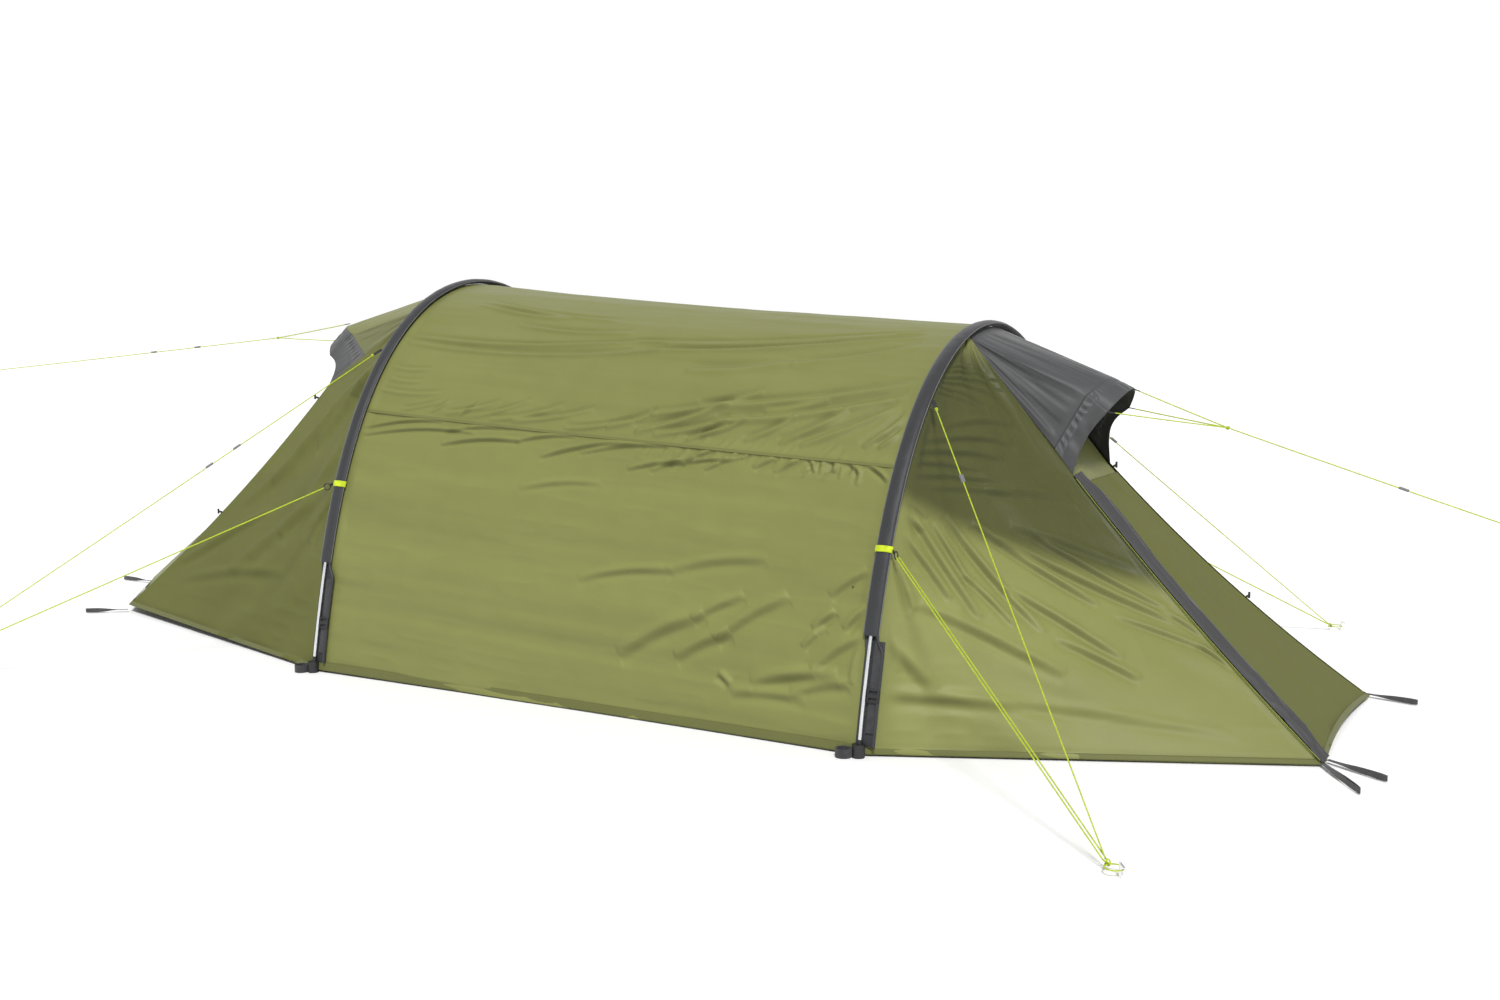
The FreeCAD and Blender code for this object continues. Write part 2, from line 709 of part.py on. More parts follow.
def inner_groundsheet():
    outer = tray_outline(0).extrude(Vector(0, 0, TRAY_HEIGHT))
    hollow = tray_outline(TRAY_WALL)
    hollow.translate(Vector(0, 0, TRAY_WALL))
    return outer.cut(hollow.extrude(Vector(0, 0, TRAY_HEIGHT)))


inner_foot_hoop = Hoop(INNER_FOOT_X, INNER_FOOT_WIDTH, INNER_FOOT_HEIGHT)


def inner_row(hoop, offset, x):
    """An inner tent section from the tray's far wall over the top to its near wall."""
    u_end = level_u(hoop, TRAY_HEIGHT + INNER_GAP, offset)
    return hoop_row(hoop, u_end, -u_end, 16, offset, x)


def inner_canopy():
    front = inner_row(front_hoop, INNER_OFFSET, INNER_WALL_X - 4 - FRONT_X)
    middle = inner_row(rear_hoop, INNER_OFFSET, 0.0)
    foot = inner_row(inner_foot_hoop, 0.0, 0.0)
    grid = []
    for a, b, c in zip(front, middle, foot):
        grid.append([mix(a, b, j / 4) for j in range(4)] + [mix(b, c, j / 3) for j in range(4)])
    return sheet(grid)


def inner_foot_wall():
    row = inner_row(inner_foot_hoop, -4.0, -6.0)
    return Part.Face(Part.makePolygon(row + row[:1])).extrude(Vector(-FABRIC, 0, 0))


def on_inner_wall(shape):
    """Lean a shape drawn upright at X = 0 back into the plane of the inner tent's front wall."""
    shape.rotate(Vector(0, 0, TRAY_HEIGHT), Vector(0, 1, 0), -INNER_WALL_LEAN)
    shape.translate(Vector(INNER_WALL_X, 0, 0))
    return shape


def half_disc(radius, thickness):
    """The upper half of a disc that stands upright on the inner door's hinge line."""
    whole = Part.makeCylinder(radius, thickness, Vector(0, 0, INNER_DOOR_Z), X_AXIS)
    lower = Part.makeBox(thickness, 2 * radius, radius, Vector(0, -radius, INNER_DOOR_Z - radius))
    return whole.cut(lower)


def inner_front_wall():
    """The leaning wall inside the front hoop, with a half-round opening for the zip and door."""
    u_end = level_u(front_hoop, TRAY_HEIGHT + INNER_GAP, INNER_WALL_OFFSET)
    row = hoop_row(front_hoop, u_end, -u_end, 24, INNER_WALL_OFFSET)
    outline = [Vector(0, p.y, p.z) for p in row]
    wall = Part.Face(Part.makePolygon(outline + outline[:1])).extrude(Vector(FABRIC, 0, 0))
    opening = half_disc(INNER_ZIP_R + INNER_ZIP_HALF + INNER_CUT_GAP, 4 * FABRIC)
    opening.translate(Vector(-FABRIC, 0, 0))
    sill = opening.copy()
    sill.translate(Vector(0, 0, -INNER_SILL_DROP))
    return on_inner_wall(wall.cut(opening).cut(sill))


def inner_door():
    return on_inner_wall(half_disc(INNER_DOOR_R, FABRIC))


def inner_zip():
    outer = half_disc(INNER_ZIP_R + INNER_ZIP_HALF, FABRIC)
    return on_inner_wall(outer.cut(half_disc(INNER_ZIP_R - INNER_ZIP_HALF, FABRIC)))


def inner_slider():
    body_at = Vector(FABRIC + INNER_SLIDER_GAP, -INNER_ZIP_R - INNER_SLIDER[1] / 2, INNER_DOOR_Z)
    pull_foot = INNER_DOOR_Z - INNER_PULL_DROP
    pull_at = Vector(FABRIC + INNER_PULL_GAP, -INNER_ZIP_R - INNER_PULL[1] / 2, pull_foot)
    body, pull = Part.makeBox(*INNER_SLIDER, body_at), Part.makeBox(*INNER_PULL, pull_at)
    slider = body.fuse(pull).removeSplitter()
    slider.rotate(Vector(0, 0, INNER_DOOR_Z), X_AXIS, -INNER_START_DEG)
    return on_inner_wall(slider)


def inner_hangers():
    """Short elastic hangers with a toggle, from the inner tent up to the fly, along both hoops."""
    solids = []
    for hoop in HOOPS:
        x = 20.0 if hoop is rear_hoop else -70.0
        for u in HANGER_PLACES:
            top = hoop.point(u, FLY_OFFSET - HANGER_TOP_GAP, x)
            foot = hoop.point(u, INNER_OFFSET + HANGER_FOOT_LIFT, x)
            middle, half = mix(foot, top, HANGER_TOGGLE_SHARE), X_AXIS * HANGER_TOGGLE_HALF
            toggle = rod(middle - half, middle + half, HANGER_TOGGLE_R)
            piece = join([rod(foot, top, HANGER_R), toggle])
            solids += both_sides(piece) if u else [piece]
    return solids


# Webbing, clips and guy lines

def stadium(start, end, radius):
    """A long loop outline on the ground, with a half circle about each of its two centres."""
    way = unit(end - start)
    side = Z_AXIS.cross(way) * radius
    edges = [
        Part.LineSegment(start + side, end + side).toShape(),
        Part.Arc(end + side, end + way * radius, end - side).toShape(),
        Part.LineSegment(end - side, start - side).toShape(),
        Part.Arc(start - side, start - way * radius, start + side).toShape(),
    ]
    return Part.Face(Part.Wire(edges))


def webbing_loop(root, end):
    """A closed loop of webbing standing on edge on the ground, for a peg."""
    outer_r = CORNER_LOOP_GAP / 2 + WEBBING
    way = unit(end - root)
    first, last = root + way * outer_r, end - way * outer_r
    outline = stadium(first, last, outer_r).cut(stadium(first, last, outer_r - WEBBING))
    return outline.extrude(Vector(0, 0, CORNER_LOOP_HEIGHT))


def side_guy_start(hoop, u, peg):
    """Where a side guy starts on the sleeve's outer face, and its direction to the peg."""
    step = SLEEVE_HALF_WIDTH * (1 if hoop is front_hoop else -1)
    start = hoop.point(u, 0.0, step)
    return start, unit(peg + Z_AXIS * AIM_LEVEL - start)


def tie_back_toggle(edge, share, lean):
    """A short cord end with a cross toggle, on an edge line; lean is its outward way along X."""
    outward = unit(Vector(lean, 0.8, 0.3))
    root = edge.arc(share) + outward * TOGGLE_GAP
    head_middle = root + outward * TOGGLE_LENGTH
    head = rod(head_middle - Z_AXIS * TOGGLE_HALF, head_middle + Z_AXIS * TOGGLE_HALF, TOGGLE_R)
    return join([rod(root, head_middle, CORD_R), head])


def tie_back_toggles():
    """Two at the door's far edge, to hold it rolled back, and two on the rear near edge."""
    front = [tie_back_toggle(front_edge, share, 0.4) for share in (0.015, 0.55)]
    rear = [mirrored(tie_back_toggle(rear_edge, share, -0.4)) for share in (0.06, 0.55)]
    return front + rear


def knot_place(peg):
    """The knot just short of a peg, on the tent's side of it."""
    inward = unit(Vector(-peg.x, -peg.y, 0))
    return peg + inward * KNOT_INSET + Z_AXIS * KNOT_LEVEL


GUY_SETS = ((front_hoop, FRONT_PEG), (rear_hoop, REAR_PEG))


def upper_guy_line(hoop, peg):
    start, way = side_guy_start(hoop, SIDE_GUY_U, peg)
    tied = start + way * (TAB_LENGTH + SMALL_KNOT_R)
    knot = knot_place(peg)
    return tied, towards(knot, tied, KNOT_R)


def lower_guy_line(hoop, peg):
    """The ring that the doubled lower guy turns round, and the frame of its two strands."""
    start, way = side_guy_start(hoop, CLIP_U, peg)
    ring_centre = start + way * (RING_SETBACK + RING_R)
    turn = ring_centre + way * RING_R
    spread = unit(way.cross(Z_AXIS))
    return ring_centre, turn, way, spread


def side_guys(hoop, peg):
    upper = tube_along(upper_guy_line(hoop, peg), CORD_R)
    turn = lower_guy_line(hoop, peg)[1]
    knot = towards(knot_place(peg), turn, KNOT_R)
    way = unit(knot - turn)
    side = unit(way.cross(Z_AXIS)) * RETURN_R
    first = Part.LineSegment(knot + side, turn + side).toShape()
    bend = Part.Arc(turn + side, turn - way * RETURN_R, turn - side).toShape()
    last = Part.LineSegment(turn - side, knot - side).toShape()
    profile = Part.Wire(Part.Circle(knot + side, way, CORD_R).toShape())
    lower = Part.Wire([first, bend, last]).makePipeShell([profile], True, False)
    return [upper, lower]


def guy_webbing_tab(hoop, peg):
    start, way = side_guy_start(hoop, SIDE_GUY_U, peg)
    end = start + way * (TAB_LENGTH - SMALL_KNOT_R - TAB_END_GAP)
    return bar(start + way * TAB_GAP, end, TAB_WIDTH, WEBBING, hoop.outward(SIDE_GUY_U))


HOOD_TABS = (  # root on the rim, knot that the bridle leg runs to
    (FRONT_RIM[2], FRONT_HOOD_KNOT),
    (FRONT_RIM[1], FRONT_HOOD_KNOT),
    (flip(FRONT_RIM[1]), FRONT_HOOD_KNOT),
    (REAR_SEAM[2] + Vector(-4, 0, 6), REAR_HOOD_KNOT),
    (REAR_RIM[2], REAR_HOOD_KNOT),
)


def hood_tab(root, knot):
    way = unit(knot - root)
    first, last = root + way * HOOD_TAB_START, root + way * HOOD_TAB_END
    return bar(first, last, HOOD_TAB_WIDTH, WEBBING, Vector(0.2, 0, 1))


def bridle_leg(root, knot):
    way = unit(knot - root)
    return tube_along([root + way * HOOD_TAB_END, knot - way * SMALL_KNOT_R], CORD_R)


def hood_line(knot, end):
    way = unit(end - knot)
    return tube_along([knot + way * SMALL_KNOT_R, end], CORD_R)


def lower_clip(hoop, peg):
    """A band round the outer face of the sleeve, a short tab and the ring that a guy turns round."""
    inner = oval(SLEEVE_HALF_WIDTH + BAND_GAP, SLEEVE_HALF_THICKNESS + BAND_GAP)
    section = hollow_oval(SLEEVE_HALF_WIDTH + BAND_OUTER, SLEEVE_HALF_THICKNESS + BAND_OUTER, inner)
    band = hoop.sweep(CLIP_U - CLIP_HALF_U, CLIP_U + CLIP_HALF_U, section)
    fly_side = slab(2 * SLEEVE_HALF_WIDTH, -2 * SLEEVE_HALF_THICKNESS, BAND_LIP_OFFSET)
    band = band.cut(hoop.sweep(CLIP_U - 2 * CLIP_HALF_U, CLIP_U + 2 * CLIP_HALF_U, fly_side))
    centre, _, way, spread = lower_guy_line(hoop, peg)
    wire = Part.makeTorus(RING_R, RING_WIRE_R, centre, spread)
    tab_ends = centre - way * CLIP_TAB_START, centre - way * (RING_R + RING_WIRE_R)
    tab = bar(*tab_ends, CLIP_TAB_WIDTH, WEBBING, way.cross(spread))
    clear = BAND_OUTER + BAND_CUT_GAP
    outside = oval(SLEEVE_HALF_WIDTH + clear, SLEEVE_HALF_THICKNESS + clear)
    tab = tab.cut(hoop.sweep(CLIP_U - BAND_CUT_HALF_U, CLIP_U + BAND_CUT_HALF_U, outside))
    return [band, wire] + tab.Solids


def guy_peg(peg):
    """The part of a peg above the ground: a pin with a hook that keeps the loop on."""
    inward = unit(Vector(-peg.x, -peg.y, 0))
    pin = Part.makeCylinder(PEG_R, PEG_HEIGHT, peg)
    hook_end = peg - inward * PEG_HOOK_REACH + Z_AXIS * (PEG_HEIGHT - PEG_HOOK_DROP)
    hook = rod(peg + Z_AXIS * (PEG_HEIGHT - PEG_R), hook_end, PEG_R)
    return join([pin, hook])


def peg_knot(peg):
    """The knot that gathers the three strands, with its eye around the peg."""
    knot = knot_place(peg)
    ball = Part.makeSphere(KNOT_R, knot)
    eye_middle = mix(knot, peg + Z_AXIS * EYE_LEVEL, 0.5) - unit(knot - peg) * EYE_SETBACK
    eye = Part.makeTorus(EYE_R, EYE_WIRE_R, eye_middle, Z_AXIS)
    return join([ball, eye])


def end_loop(end, way):
    """The knotted eye at the free end of a hood guy."""
    ball = Part.makeSphere(SMALL_KNOT_R, end + way * SMALL_KNOT_R)
    middle = end + way * (2 * SMALL_KNOT_R + END_LOOP_R - 1)
    eye = Part.makeTorus(END_LOOP_R, END_LOOP_WIRE_R, middle, Vector(0, 1, 0))
    return join([ball, eye])


def guy_knots():
    solids = []
    for hoop, peg in GUY_SETS:
        tied, knot_end = upper_guy_line(hoop, peg)
        way = unit(knot_end - tied)
        solids += both_sides(Part.makeSphere(SMALL_KNOT_R, tied - way * SMALL_KNOT_R))
        solids += both_sides(peg_knot(peg))
    for knot, end in ((FRONT_HOOD_KNOT, FRONT_HOOD_END), (REAR_HOOD_KNOT, REAR_HOOD_END)):
        solids.append(Part.makeSphere(SMALL_KNOT_R, knot))
        solids.append(end_loop(end, unit(end - knot)))
    return solids


def on_cord(start, end, share):
    """A line-tensioner: a rounded block with a bore that a guy line runs through."""
    length, width, thickness = TENSIONER
    middle = mix(start, end, share)
    way = unit(end - start)
    flat = unit(way.cross(Z_AXIS).cross(way))
    block = bar(middle - way * length / 2, middle + way * length / 2, width, thickness, flat)
    block = block.makeFillet(TENSIONER_FILLET, block.Edges)
    return block.cut(rod(middle - way * length, middle + way * length, TENSIONER_BORE_R))


FRONT_UPPER_SHARE = 0.19
REAR_UPPER_SHARES = (0.36, 0.30)
FRONT_HOOD_SHARE = 0.60
REAR_HOOD_SHARES = (0.397, 0.252)


def export(name, solids):
    shape = solids if isinstance(solids, Part.Shape) else Part.Compound(list(solids))
    bad = [s for s in shape.Solids if not s.isValid() or s.Volume <= 0]
    if bad or not shape.Solids:
        print("CHECK", name, len(bad), "of", len(shape.Solids), "solids are not valid")
    shape.exportStep("parts/" + name + ".step")


def main():
    os.makedirs("parts", exist_ok=True)
    export("rear_pole_sections", pole_sections(rear_hoop))
    export("front_pole_sections", pole_sections(front_hoop))
    export("pole_ferrules", pole_ferrules())
    export("pole_shock_cords", shock_cords())
    export("pole_tips", pole_tips())
    export("rear_pole_sleeve", sleeve(rear_hoop))
    export("front_pole_sleeve", sleeve(front_hoop))
    for name, make in (
        ("foot_cups", foot_cup),
        ("foot_peg_loops", foot_loop),
        ("foot_straps", foot_strap),
        ("ladder_lock_buckles", ladder_lock),
    ):
        solids = []
        for hoop in HOOPS:
            solids += both_sides(make(hoop))
        export(name, solids)

    export("roof_panel", roof_panel())
    side = far_side_panel()
    export("far_side_panel", side)
    export("near_side_panel", mirrored(side))
    export("hem_tapes", both_sides(far_hem_tape()))
    for end, hoop, edge, hood_u, x_step, seam, rim in (
        ("front", front_hoop, front_edge, FRONT_HOOD_U, PANEL_GAP, FRONT_SEAM, FRONT_RIM),
        ("rear", rear_hoop, rear_edge, REAR_HOOD_U, -PANEL_GAP, REAR_SEAM, REAR_RIM),
    ):
        side = end_side_panel(hoop, edge, hood_u, x_step)
        export(end + "_far_side_panel", side)
        export(end + "_near_side_panel", mirrored(side))
        export(end + "_hood", hood_top(hoop, edge, hood_u, x_step, seam))
        export(end + "_hood_band", hood_band(seam, rim))
    export("vent_meshes", vent_meshes())
    export("front_vent_panel", front_vent_panel())
    export("rear_end_panel", rear_end_panel())

    export("door_panel", door_panel())
    export("storm_flap", storm_flap())
    coil = zip_strip((ZIP_LINE - COIL_HALF, ZIP_LINE + COIL_HALF), COIL_THICKNESS)
    export("door_zip", [zip_strip(DOOR_TAPE), coil])
    export("door_zip_fixed_tape", zip_strip(FIXED_TAPE))
    export("door_zip_slider", zip_slider())
    export("tie_back_toggles", tie_back_toggles())
    loops = [webbing_loop(root, end) for root, end in CORNER_LOOPS]
    export("corner_peg_loops", loops)
    export("door_peg_loop", webbing_loop(*DOOR_LOOP))

    export("inner_groundsheet", inner_groundsheet())
    export("inner_canopy", inner_canopy())
    export("inner_foot_wall", inner_foot_wall())
    export("inner_front_wall", inner_front_wall())
    export("inner_door", inner_door())
    export("inner_zip", inner_zip())
    export("inner_zip_slider", inner_slider())
    export("inner_hangers", inner_hangers())

    tabs, clips, pegs = [], [], []
    for hoop, peg in GUY_SETS:
        tabs += both_sides(guy_webbing_tab(hoop, peg))
        for solid in lower_clip(hoop, peg):
            clips += both_sides(solid)
        pegs += both_sides(guy_peg(peg))
    tabs += [hood_tab(root, knot) for root, knot in HOOD_TABS]
    export("guy_webbing_tabs", tabs)
    export("lower_guy_clips", clips)
    export("guy_pegs", pegs)
    export("guy_knots", guy_knots())

    for end, (hoop, peg) in zip(("front", "rear"), GUY_SETS):
        far = side_guys(hoop, peg)
        export(end + "_far_guys", far)
        export(end + "_near_guys", [mirrored(s) for s in far])
    export("hood_bridles", [bridle_leg(*pair) for pair in HOOD_TABS])
    export("front_hood_guy", hood_line(FRONT_HOOD_KNOT, FRONT_HOOD_END))
    export("rear_hood_guy", hood_line(REAR_HOOD_KNOT, REAR_HOOD_END))

    line_clips = []
    shares_on = {"front": (FRONT_UPPER_SHARE,), "rear": REAR_UPPER_SHARES}
    for (end, shares), guy_set in zip(shares_on.items(), GUY_SETS):
        line = upper_guy_line(*guy_set)
        tensioner = on_cord(*line, shares[0])
        export(end + "_far_tensioner", tensioner)
        export(end + "_near_tensioner", mirrored(tensioner))
        for share in shares[1:]:
            line_clips += both_sides(on_cord(*line, share))
    export("front_hood_tensioner", on_cord(FRONT_HOOD_KNOT, FRONT_HOOD_END, FRONT_HOOD_SHARE))
    export("rear_hood_tensioner", on_cord(REAR_HOOD_KNOT, REAR_HOOD_END, REAR_HOOD_SHARES[0]))
    line_clips.append(on_cord(REAR_HOOD_KNOT, REAR_HOOD_END, REAR_HOOD_SHARES[1]))
    export("guy_line_clips", line_clips)


main()
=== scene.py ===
from math import asin, cos, pi, radians, sin, sqrt

import bpy
import numpy as np
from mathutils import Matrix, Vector


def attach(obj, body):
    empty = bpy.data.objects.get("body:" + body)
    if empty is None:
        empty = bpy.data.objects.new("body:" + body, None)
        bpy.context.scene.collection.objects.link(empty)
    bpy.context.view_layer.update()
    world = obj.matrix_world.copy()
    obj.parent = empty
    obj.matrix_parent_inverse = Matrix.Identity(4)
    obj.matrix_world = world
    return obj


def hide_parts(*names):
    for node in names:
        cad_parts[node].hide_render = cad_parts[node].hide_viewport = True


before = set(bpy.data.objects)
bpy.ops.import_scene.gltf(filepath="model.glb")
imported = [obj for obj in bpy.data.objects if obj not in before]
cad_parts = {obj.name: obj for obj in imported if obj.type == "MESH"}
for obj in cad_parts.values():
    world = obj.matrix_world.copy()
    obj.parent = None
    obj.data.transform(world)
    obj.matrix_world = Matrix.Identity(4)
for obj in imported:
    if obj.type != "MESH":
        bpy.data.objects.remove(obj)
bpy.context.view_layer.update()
bpy.context.scene.view_settings.view_transform = "Standard"

# A two-hoop tunnel tent, pitched. Metres, +X towards the door end, near side -Y, far side +Y.

# Hoops: plane, width at the ground and height of the pole's line
REAR_HOOP = (-0.526, 1.539, 1.099)
FRONT_HOOP = (1.172, 1.581, 0.975)
BEND = (2.2144, -1.1400, 0.2941)
SLEEVE_END_U = 0.80
SEAM_U = 0.5
FLY_OFFSET = -0.009
FABRIC = 0.0009
FABRIC_HALF = 0.0008  # half the thickness of the CAD's cloth

# Both ends, given for the far side as in the CAD
FRONT_HOOD_U = 0.125
FRONT_SEAM = ((1.410, 0.160, 0.665), (1.470, 0.098, 0.797), (1.508, 0.0, 0.838))
FRONT_RIM = ((1.458, 0.163, 0.605), (1.523, 0.100, 0.757), (1.559, 0.0, 0.812))
FRONT_CORNER = (2.110, 0.358, 0.005)
FRONT_SAG = (-0.0133, -0.0208, -0.0133)
REAR_HOOD_U = 0.218
REAR_SEAM = ((-0.821, 0.207, 0.869), (-0.985, 0.085, 0.929), (-1.072, 0.0, 0.958))
REAR_RIM = ((-1.020, 0.158, 0.774), (-1.080, 0.092, 0.862), (-1.128, 0.0, 0.906))
REAR_CORNER = (-1.711, 0.419, 0.024)
REAR_SAG = (0.017, -0.004, -0.016)
REAR_END_TOP = (-1.085, 0.0, 0.735)
REAR_TIP = (-2.079, 0.0, 0.024)
DOOR_TOP_T = 0.035
DOOR_HEM_RISE = 0.020
DOOR_NEAR_INSET, DOOR_FAR_INSET = 0.027, 0.012
FLAP_ACROSS = (-0.007, 0.004, 0.020, 0.038, 0.051, 0.059)
FLAP_HEIGHT = (0.006, 0.016, 0.022, 0.022, 0.015, 0.005)
FLAP_TOP_T = 0.008
SIDE_HOLLOW = (0.20, 0.45)  # how far the hood's free edge draws back, near and far, in band widths
HOOD_CORNER_W = 0.62
CLOTH_HEM_U = 0.996  # the hem tape hangs this far down
VENT_SPLIT, VENT_INSET = 0.5, 0.008
LOOP_HEIGHT, LOOP_GAP = 0.016, 0.009
CORNER_LOOPS = {  # root, end and twist in degrees of each webbing loop at a ground corner
    "front_near": ((2.106, -0.356), (2.210, -0.532), 85),
    "front_far": ((2.098, 0.366), (2.229, 0.332), 85),
    "rear_near": ((-1.713, -0.423), (-1.820, -0.505), 85),
    "rear_far": ((-1.713, 0.423), (-1.820, 0.505), -85),
    "rear_tip": ((-2.082, 0.0), (-2.250, 0.0), 85),
}
DOOR_LOOP = ((2.113, -0.324), (2.2484, -0.4116), 85)

# Inner tent
INNER_OFFSET = -0.070
INNER_WALL_X, INNER_WALL_LEAN = 1.126, 6.0
INNER_FOOT_HOOP = (-1.076, 0.850, 0.560)
INNER_DOOR_Z, INNER_DOOR_R, INNER_OPENING_R = 0.112, 0.322, 0.3325
TRAY_HALF = ((1.130, 0.700), (-0.526, 0.680), (-1.080, 0.411))
TRAY_HEIGHT = 0.100

# Guy lines: their routes as in the CAD, given for the far side
CORD_R = 0.0015
UPPER_GUYS = {
    "front": ((1.215459, 0.460406, 0.771478), (1.870730, 1.225381, 0.019785)),
    "rear": ((-0.571104, 0.449312, 0.874969), (-1.442570, 1.391120, 0.019438)),
}


# Shapes as arrays of points

def vec(*values):
    return np.array(values, dtype=float)


def unit(v):
    return v / np.linalg.norm(v, axis=-1, keepdims=True)


def mix(a, b, share):
    return a + (b - a) * share


class Hoop:
    """A pole line in a plane of constant X, from u = 0 at its top to u = 1 at its far foot."""

    def __init__(self, x, width, height, steps=800):
        self.x = x
        u = (np.arange(steps) + 0.5) / steps
        psi = BEND[0] * u + BEND[1] * u**3 + BEND[2] * u**5
        across = np.concatenate([[0], np.cumsum(np.cos(psi))])
        down = np.concatenate([[0], np.cumsum(np.sin(psi))])
        self.u = np.arange(steps + 1) / steps
        self.y = across / across[-1] * width / 2
        self.z = height - down / down[-1] * height
        slope = np.arctan2(-np.gradient(self.z), np.gradient(self.y))
        self.slope = slope

    def point(self, u, offset=0.0, dx=0.0):
        u = np.asarray(u, dtype=float)
        side = np.where(u < 0, -1.0, 1.0)
        y = np.interp(np.abs(u), self.u, self.y)
        z = np.interp(np.abs(u), self.u, self.z)
        slope = np.interp(np.abs(u), self.u, self.slope)
        y = side * (y + offset * np.sin(slope))
        z = z + offset * np.cos(slope)
        return np.stack([np.full_like(y, self.x) + dx, y, z], axis=-1)

    def outward(self, u):
        u = np.asarray(u, dtype=float)
        slope = np.interp(np.abs(u), self.u, self.slope)
        side = np.where(u < 0, -1.0, 1.0)
        return np.stack([np.zeros_like(slope), side * np.sin(slope), np.cos(slope)], axis=-1)


class EdgeLine:
    """The seam from a hoop down a hood to its rim, then in a shallow arc to the ground corner."""

    def __init__(self, hoop, hood_u, dx, rim_end, corner, sag):
        self.top = hoop.point(hood_u, FLY_OFFSET, dx)
        self.rim_end, self.corner = vec(*rim_end), vec(*corner)
        span = self.corner - self.rim_end
        self.chord = unit(span)
        sag = vec(*sag)
        bulge = sag - self.chord * sag.dot(self.chord)
        half, rise = np.linalg.norm(span) / 2, np.linalg.norm(bulge)
        self.out = unit(bulge)
        self.radius = (half * half + rise * rise) / (2 * rise)
        self.half_angle = asin(half / self.radius)
        self.centre = (self.rim_end + self.corner) / 2 - self.out * (self.radius - rise)
        hood_length = np.linalg.norm(self.rim_end - self.top)
        self.hood_share = hood_length / (hood_length + 2 * half)

    def arc(self, t):
        angle = self.half_angle * (2 * np.asarray(t, dtype=float)[..., None] - 1)
        return self.centre + (self.out * np.cos(angle) + self.chord * np.sin(angle)) * self.radius

    def at(self, share):
        share = np.asarray(share, dtype=float)
        on_hood = mix(self.top, self.rim_end, np.clip(share / self.hood_share, 0, 1)[..., None])
        on_arc = self.arc(np.clip((share - self.hood_share) / (1 - self.hood_share), 0, 1))
        return np.where((share < self.hood_share)[..., None], on_hood, on_arc)


rear_hoop, front_hoop = Hoop(*REAR_HOOP), Hoop(*FRONT_HOOP)
front_edge = EdgeLine(front_hoop, FRONT_HOOD_U, 0.006, FRONT_RIM[0], FRONT_CORNER, FRONT_SAG)
rear_edge = EdgeLine(rear_hoop, REAR_HOOD_U, -0.006, REAR_RIM[0], REAR_CORNER, REAR_SAG)
DOOR_OUT = unit(vec(FRONT_RIM[0][2] - FRONT_CORNER[2], 0, FRONT_CORNER[0] - FRONT_RIM[0][0]))
FLIP = vec(1, -1, 1)
SIDES = (("far", vec(1, 1, 1)), ("near", FLIP))


# Creases and noise

def lattice(ix, iy, seed):
    """A repeatable random number from 0 to 1 at each whole-number point."""
    value = np.sin(ix * 127.1 + iy * 311.7 + seed * 74.7) * 43758.5453
    return value - np.floor(value)


def noise(x, y, seed=0):
    """Smooth noise from -1 to 1 with features about one unit across."""
    ix, iy = np.floor(x), np.floor(y)
    fx, fy = x - ix, y - iy
    wx = fx * fx * fx * (fx * (fx * 6 - 15) + 10)
    wy = fy * fy * fy * (fy * (fy * 6 - 15) + 10)
    top = mix(lattice(ix, iy, seed), lattice(ix + 1, iy, seed), wx)
    bottom = mix(lattice(ix, iy + 1, seed), lattice(ix + 1, iy + 1, seed), wx)
    return mix(top, bottom, wy) * 2 - 1


def ridges(x, y, seed=0):
    """Noise with sharp crests, from 0 to 1, for crumpled cloth."""
    return 1 - np.abs(noise(x, y, seed)) * 1.6


def smooth(value, low, high):
    share = np.clip((value - low) / (high - low), 0, 1)
    return share * share * (3 - 2 * share)


CREASE_DEPTH = 1.6  # how much deeper the listed creases are made than their heights say


def fold(x, y, start, end, width, height):
    """One crease from start to end: a crest with a hollow beside it, strongest in its middle."""
    dx, dy = end[0] - start[0], end[1] - start[1]
    length = sqrt(dx * dx + dy * dy)
    along = ((x - start[0]) * dx + (y - start[1]) * dy) / (length * length)
    bow = 0.04 * length * np.sin(pi * along)
    across = (((x - start[0]) * -dy + (y - start[1]) * dx) / length + bow) / width
    inside = np.clip(along, 0, 1)
    taper = np.sin(pi * inside) ** 0.4
    crest = np.exp(-across * across) - 0.75 * np.exp(-((across - 1.7) ** 2))
    return height * taper * crest


def folds(x, y, lines):
    """A sum of creases. A line holds the places of its two ends in cm, then width and height in mm."""
    total = np.zeros_like(x)
    for x0, y0, x1, y1, width, height in lines:
        start, end = (x0 / 100, y0 / 100), (x1 / 100, y1 / 100)
        total += fold(x, y, start, end, width / 1000, CREASE_DEPTH * height / 1000)
    return total


def puckers(x, y, first, last, count, lean, reach, width, height, seed):
    """Short creases side by side along a seam, from the place first to the place last."""
    random = np.random.default_rng(seed)
    total = np.zeros_like(x)
    for i in range(count):
        share = (i + random.uniform(0.1, 0.9)) / count
        root = (mix(first[0], last[0], share), mix(first[1], last[1], share))
        size = random.uniform(0.5, 1.2)
        tip = (root[0] + lean * size * reach, root[1] + size * reach)
        total += fold(x, y, root, tip, width * random.uniform(0.7, 1.3), height * random.uniform(0.4, 1.1))
    return total


def stitching(distance, place_at, width, depth):
    """The low line that a row of stitches pulls into cloth, at a distance from its edge."""
    return -depth * np.exp(-(((distance - place_at) / width) ** 2))


# Making cloth

def new_object(name, data):
    obj = bpy.data.objects.new(name, data)
    bpy.context.scene.collection.objects.link(obj)
    return obj


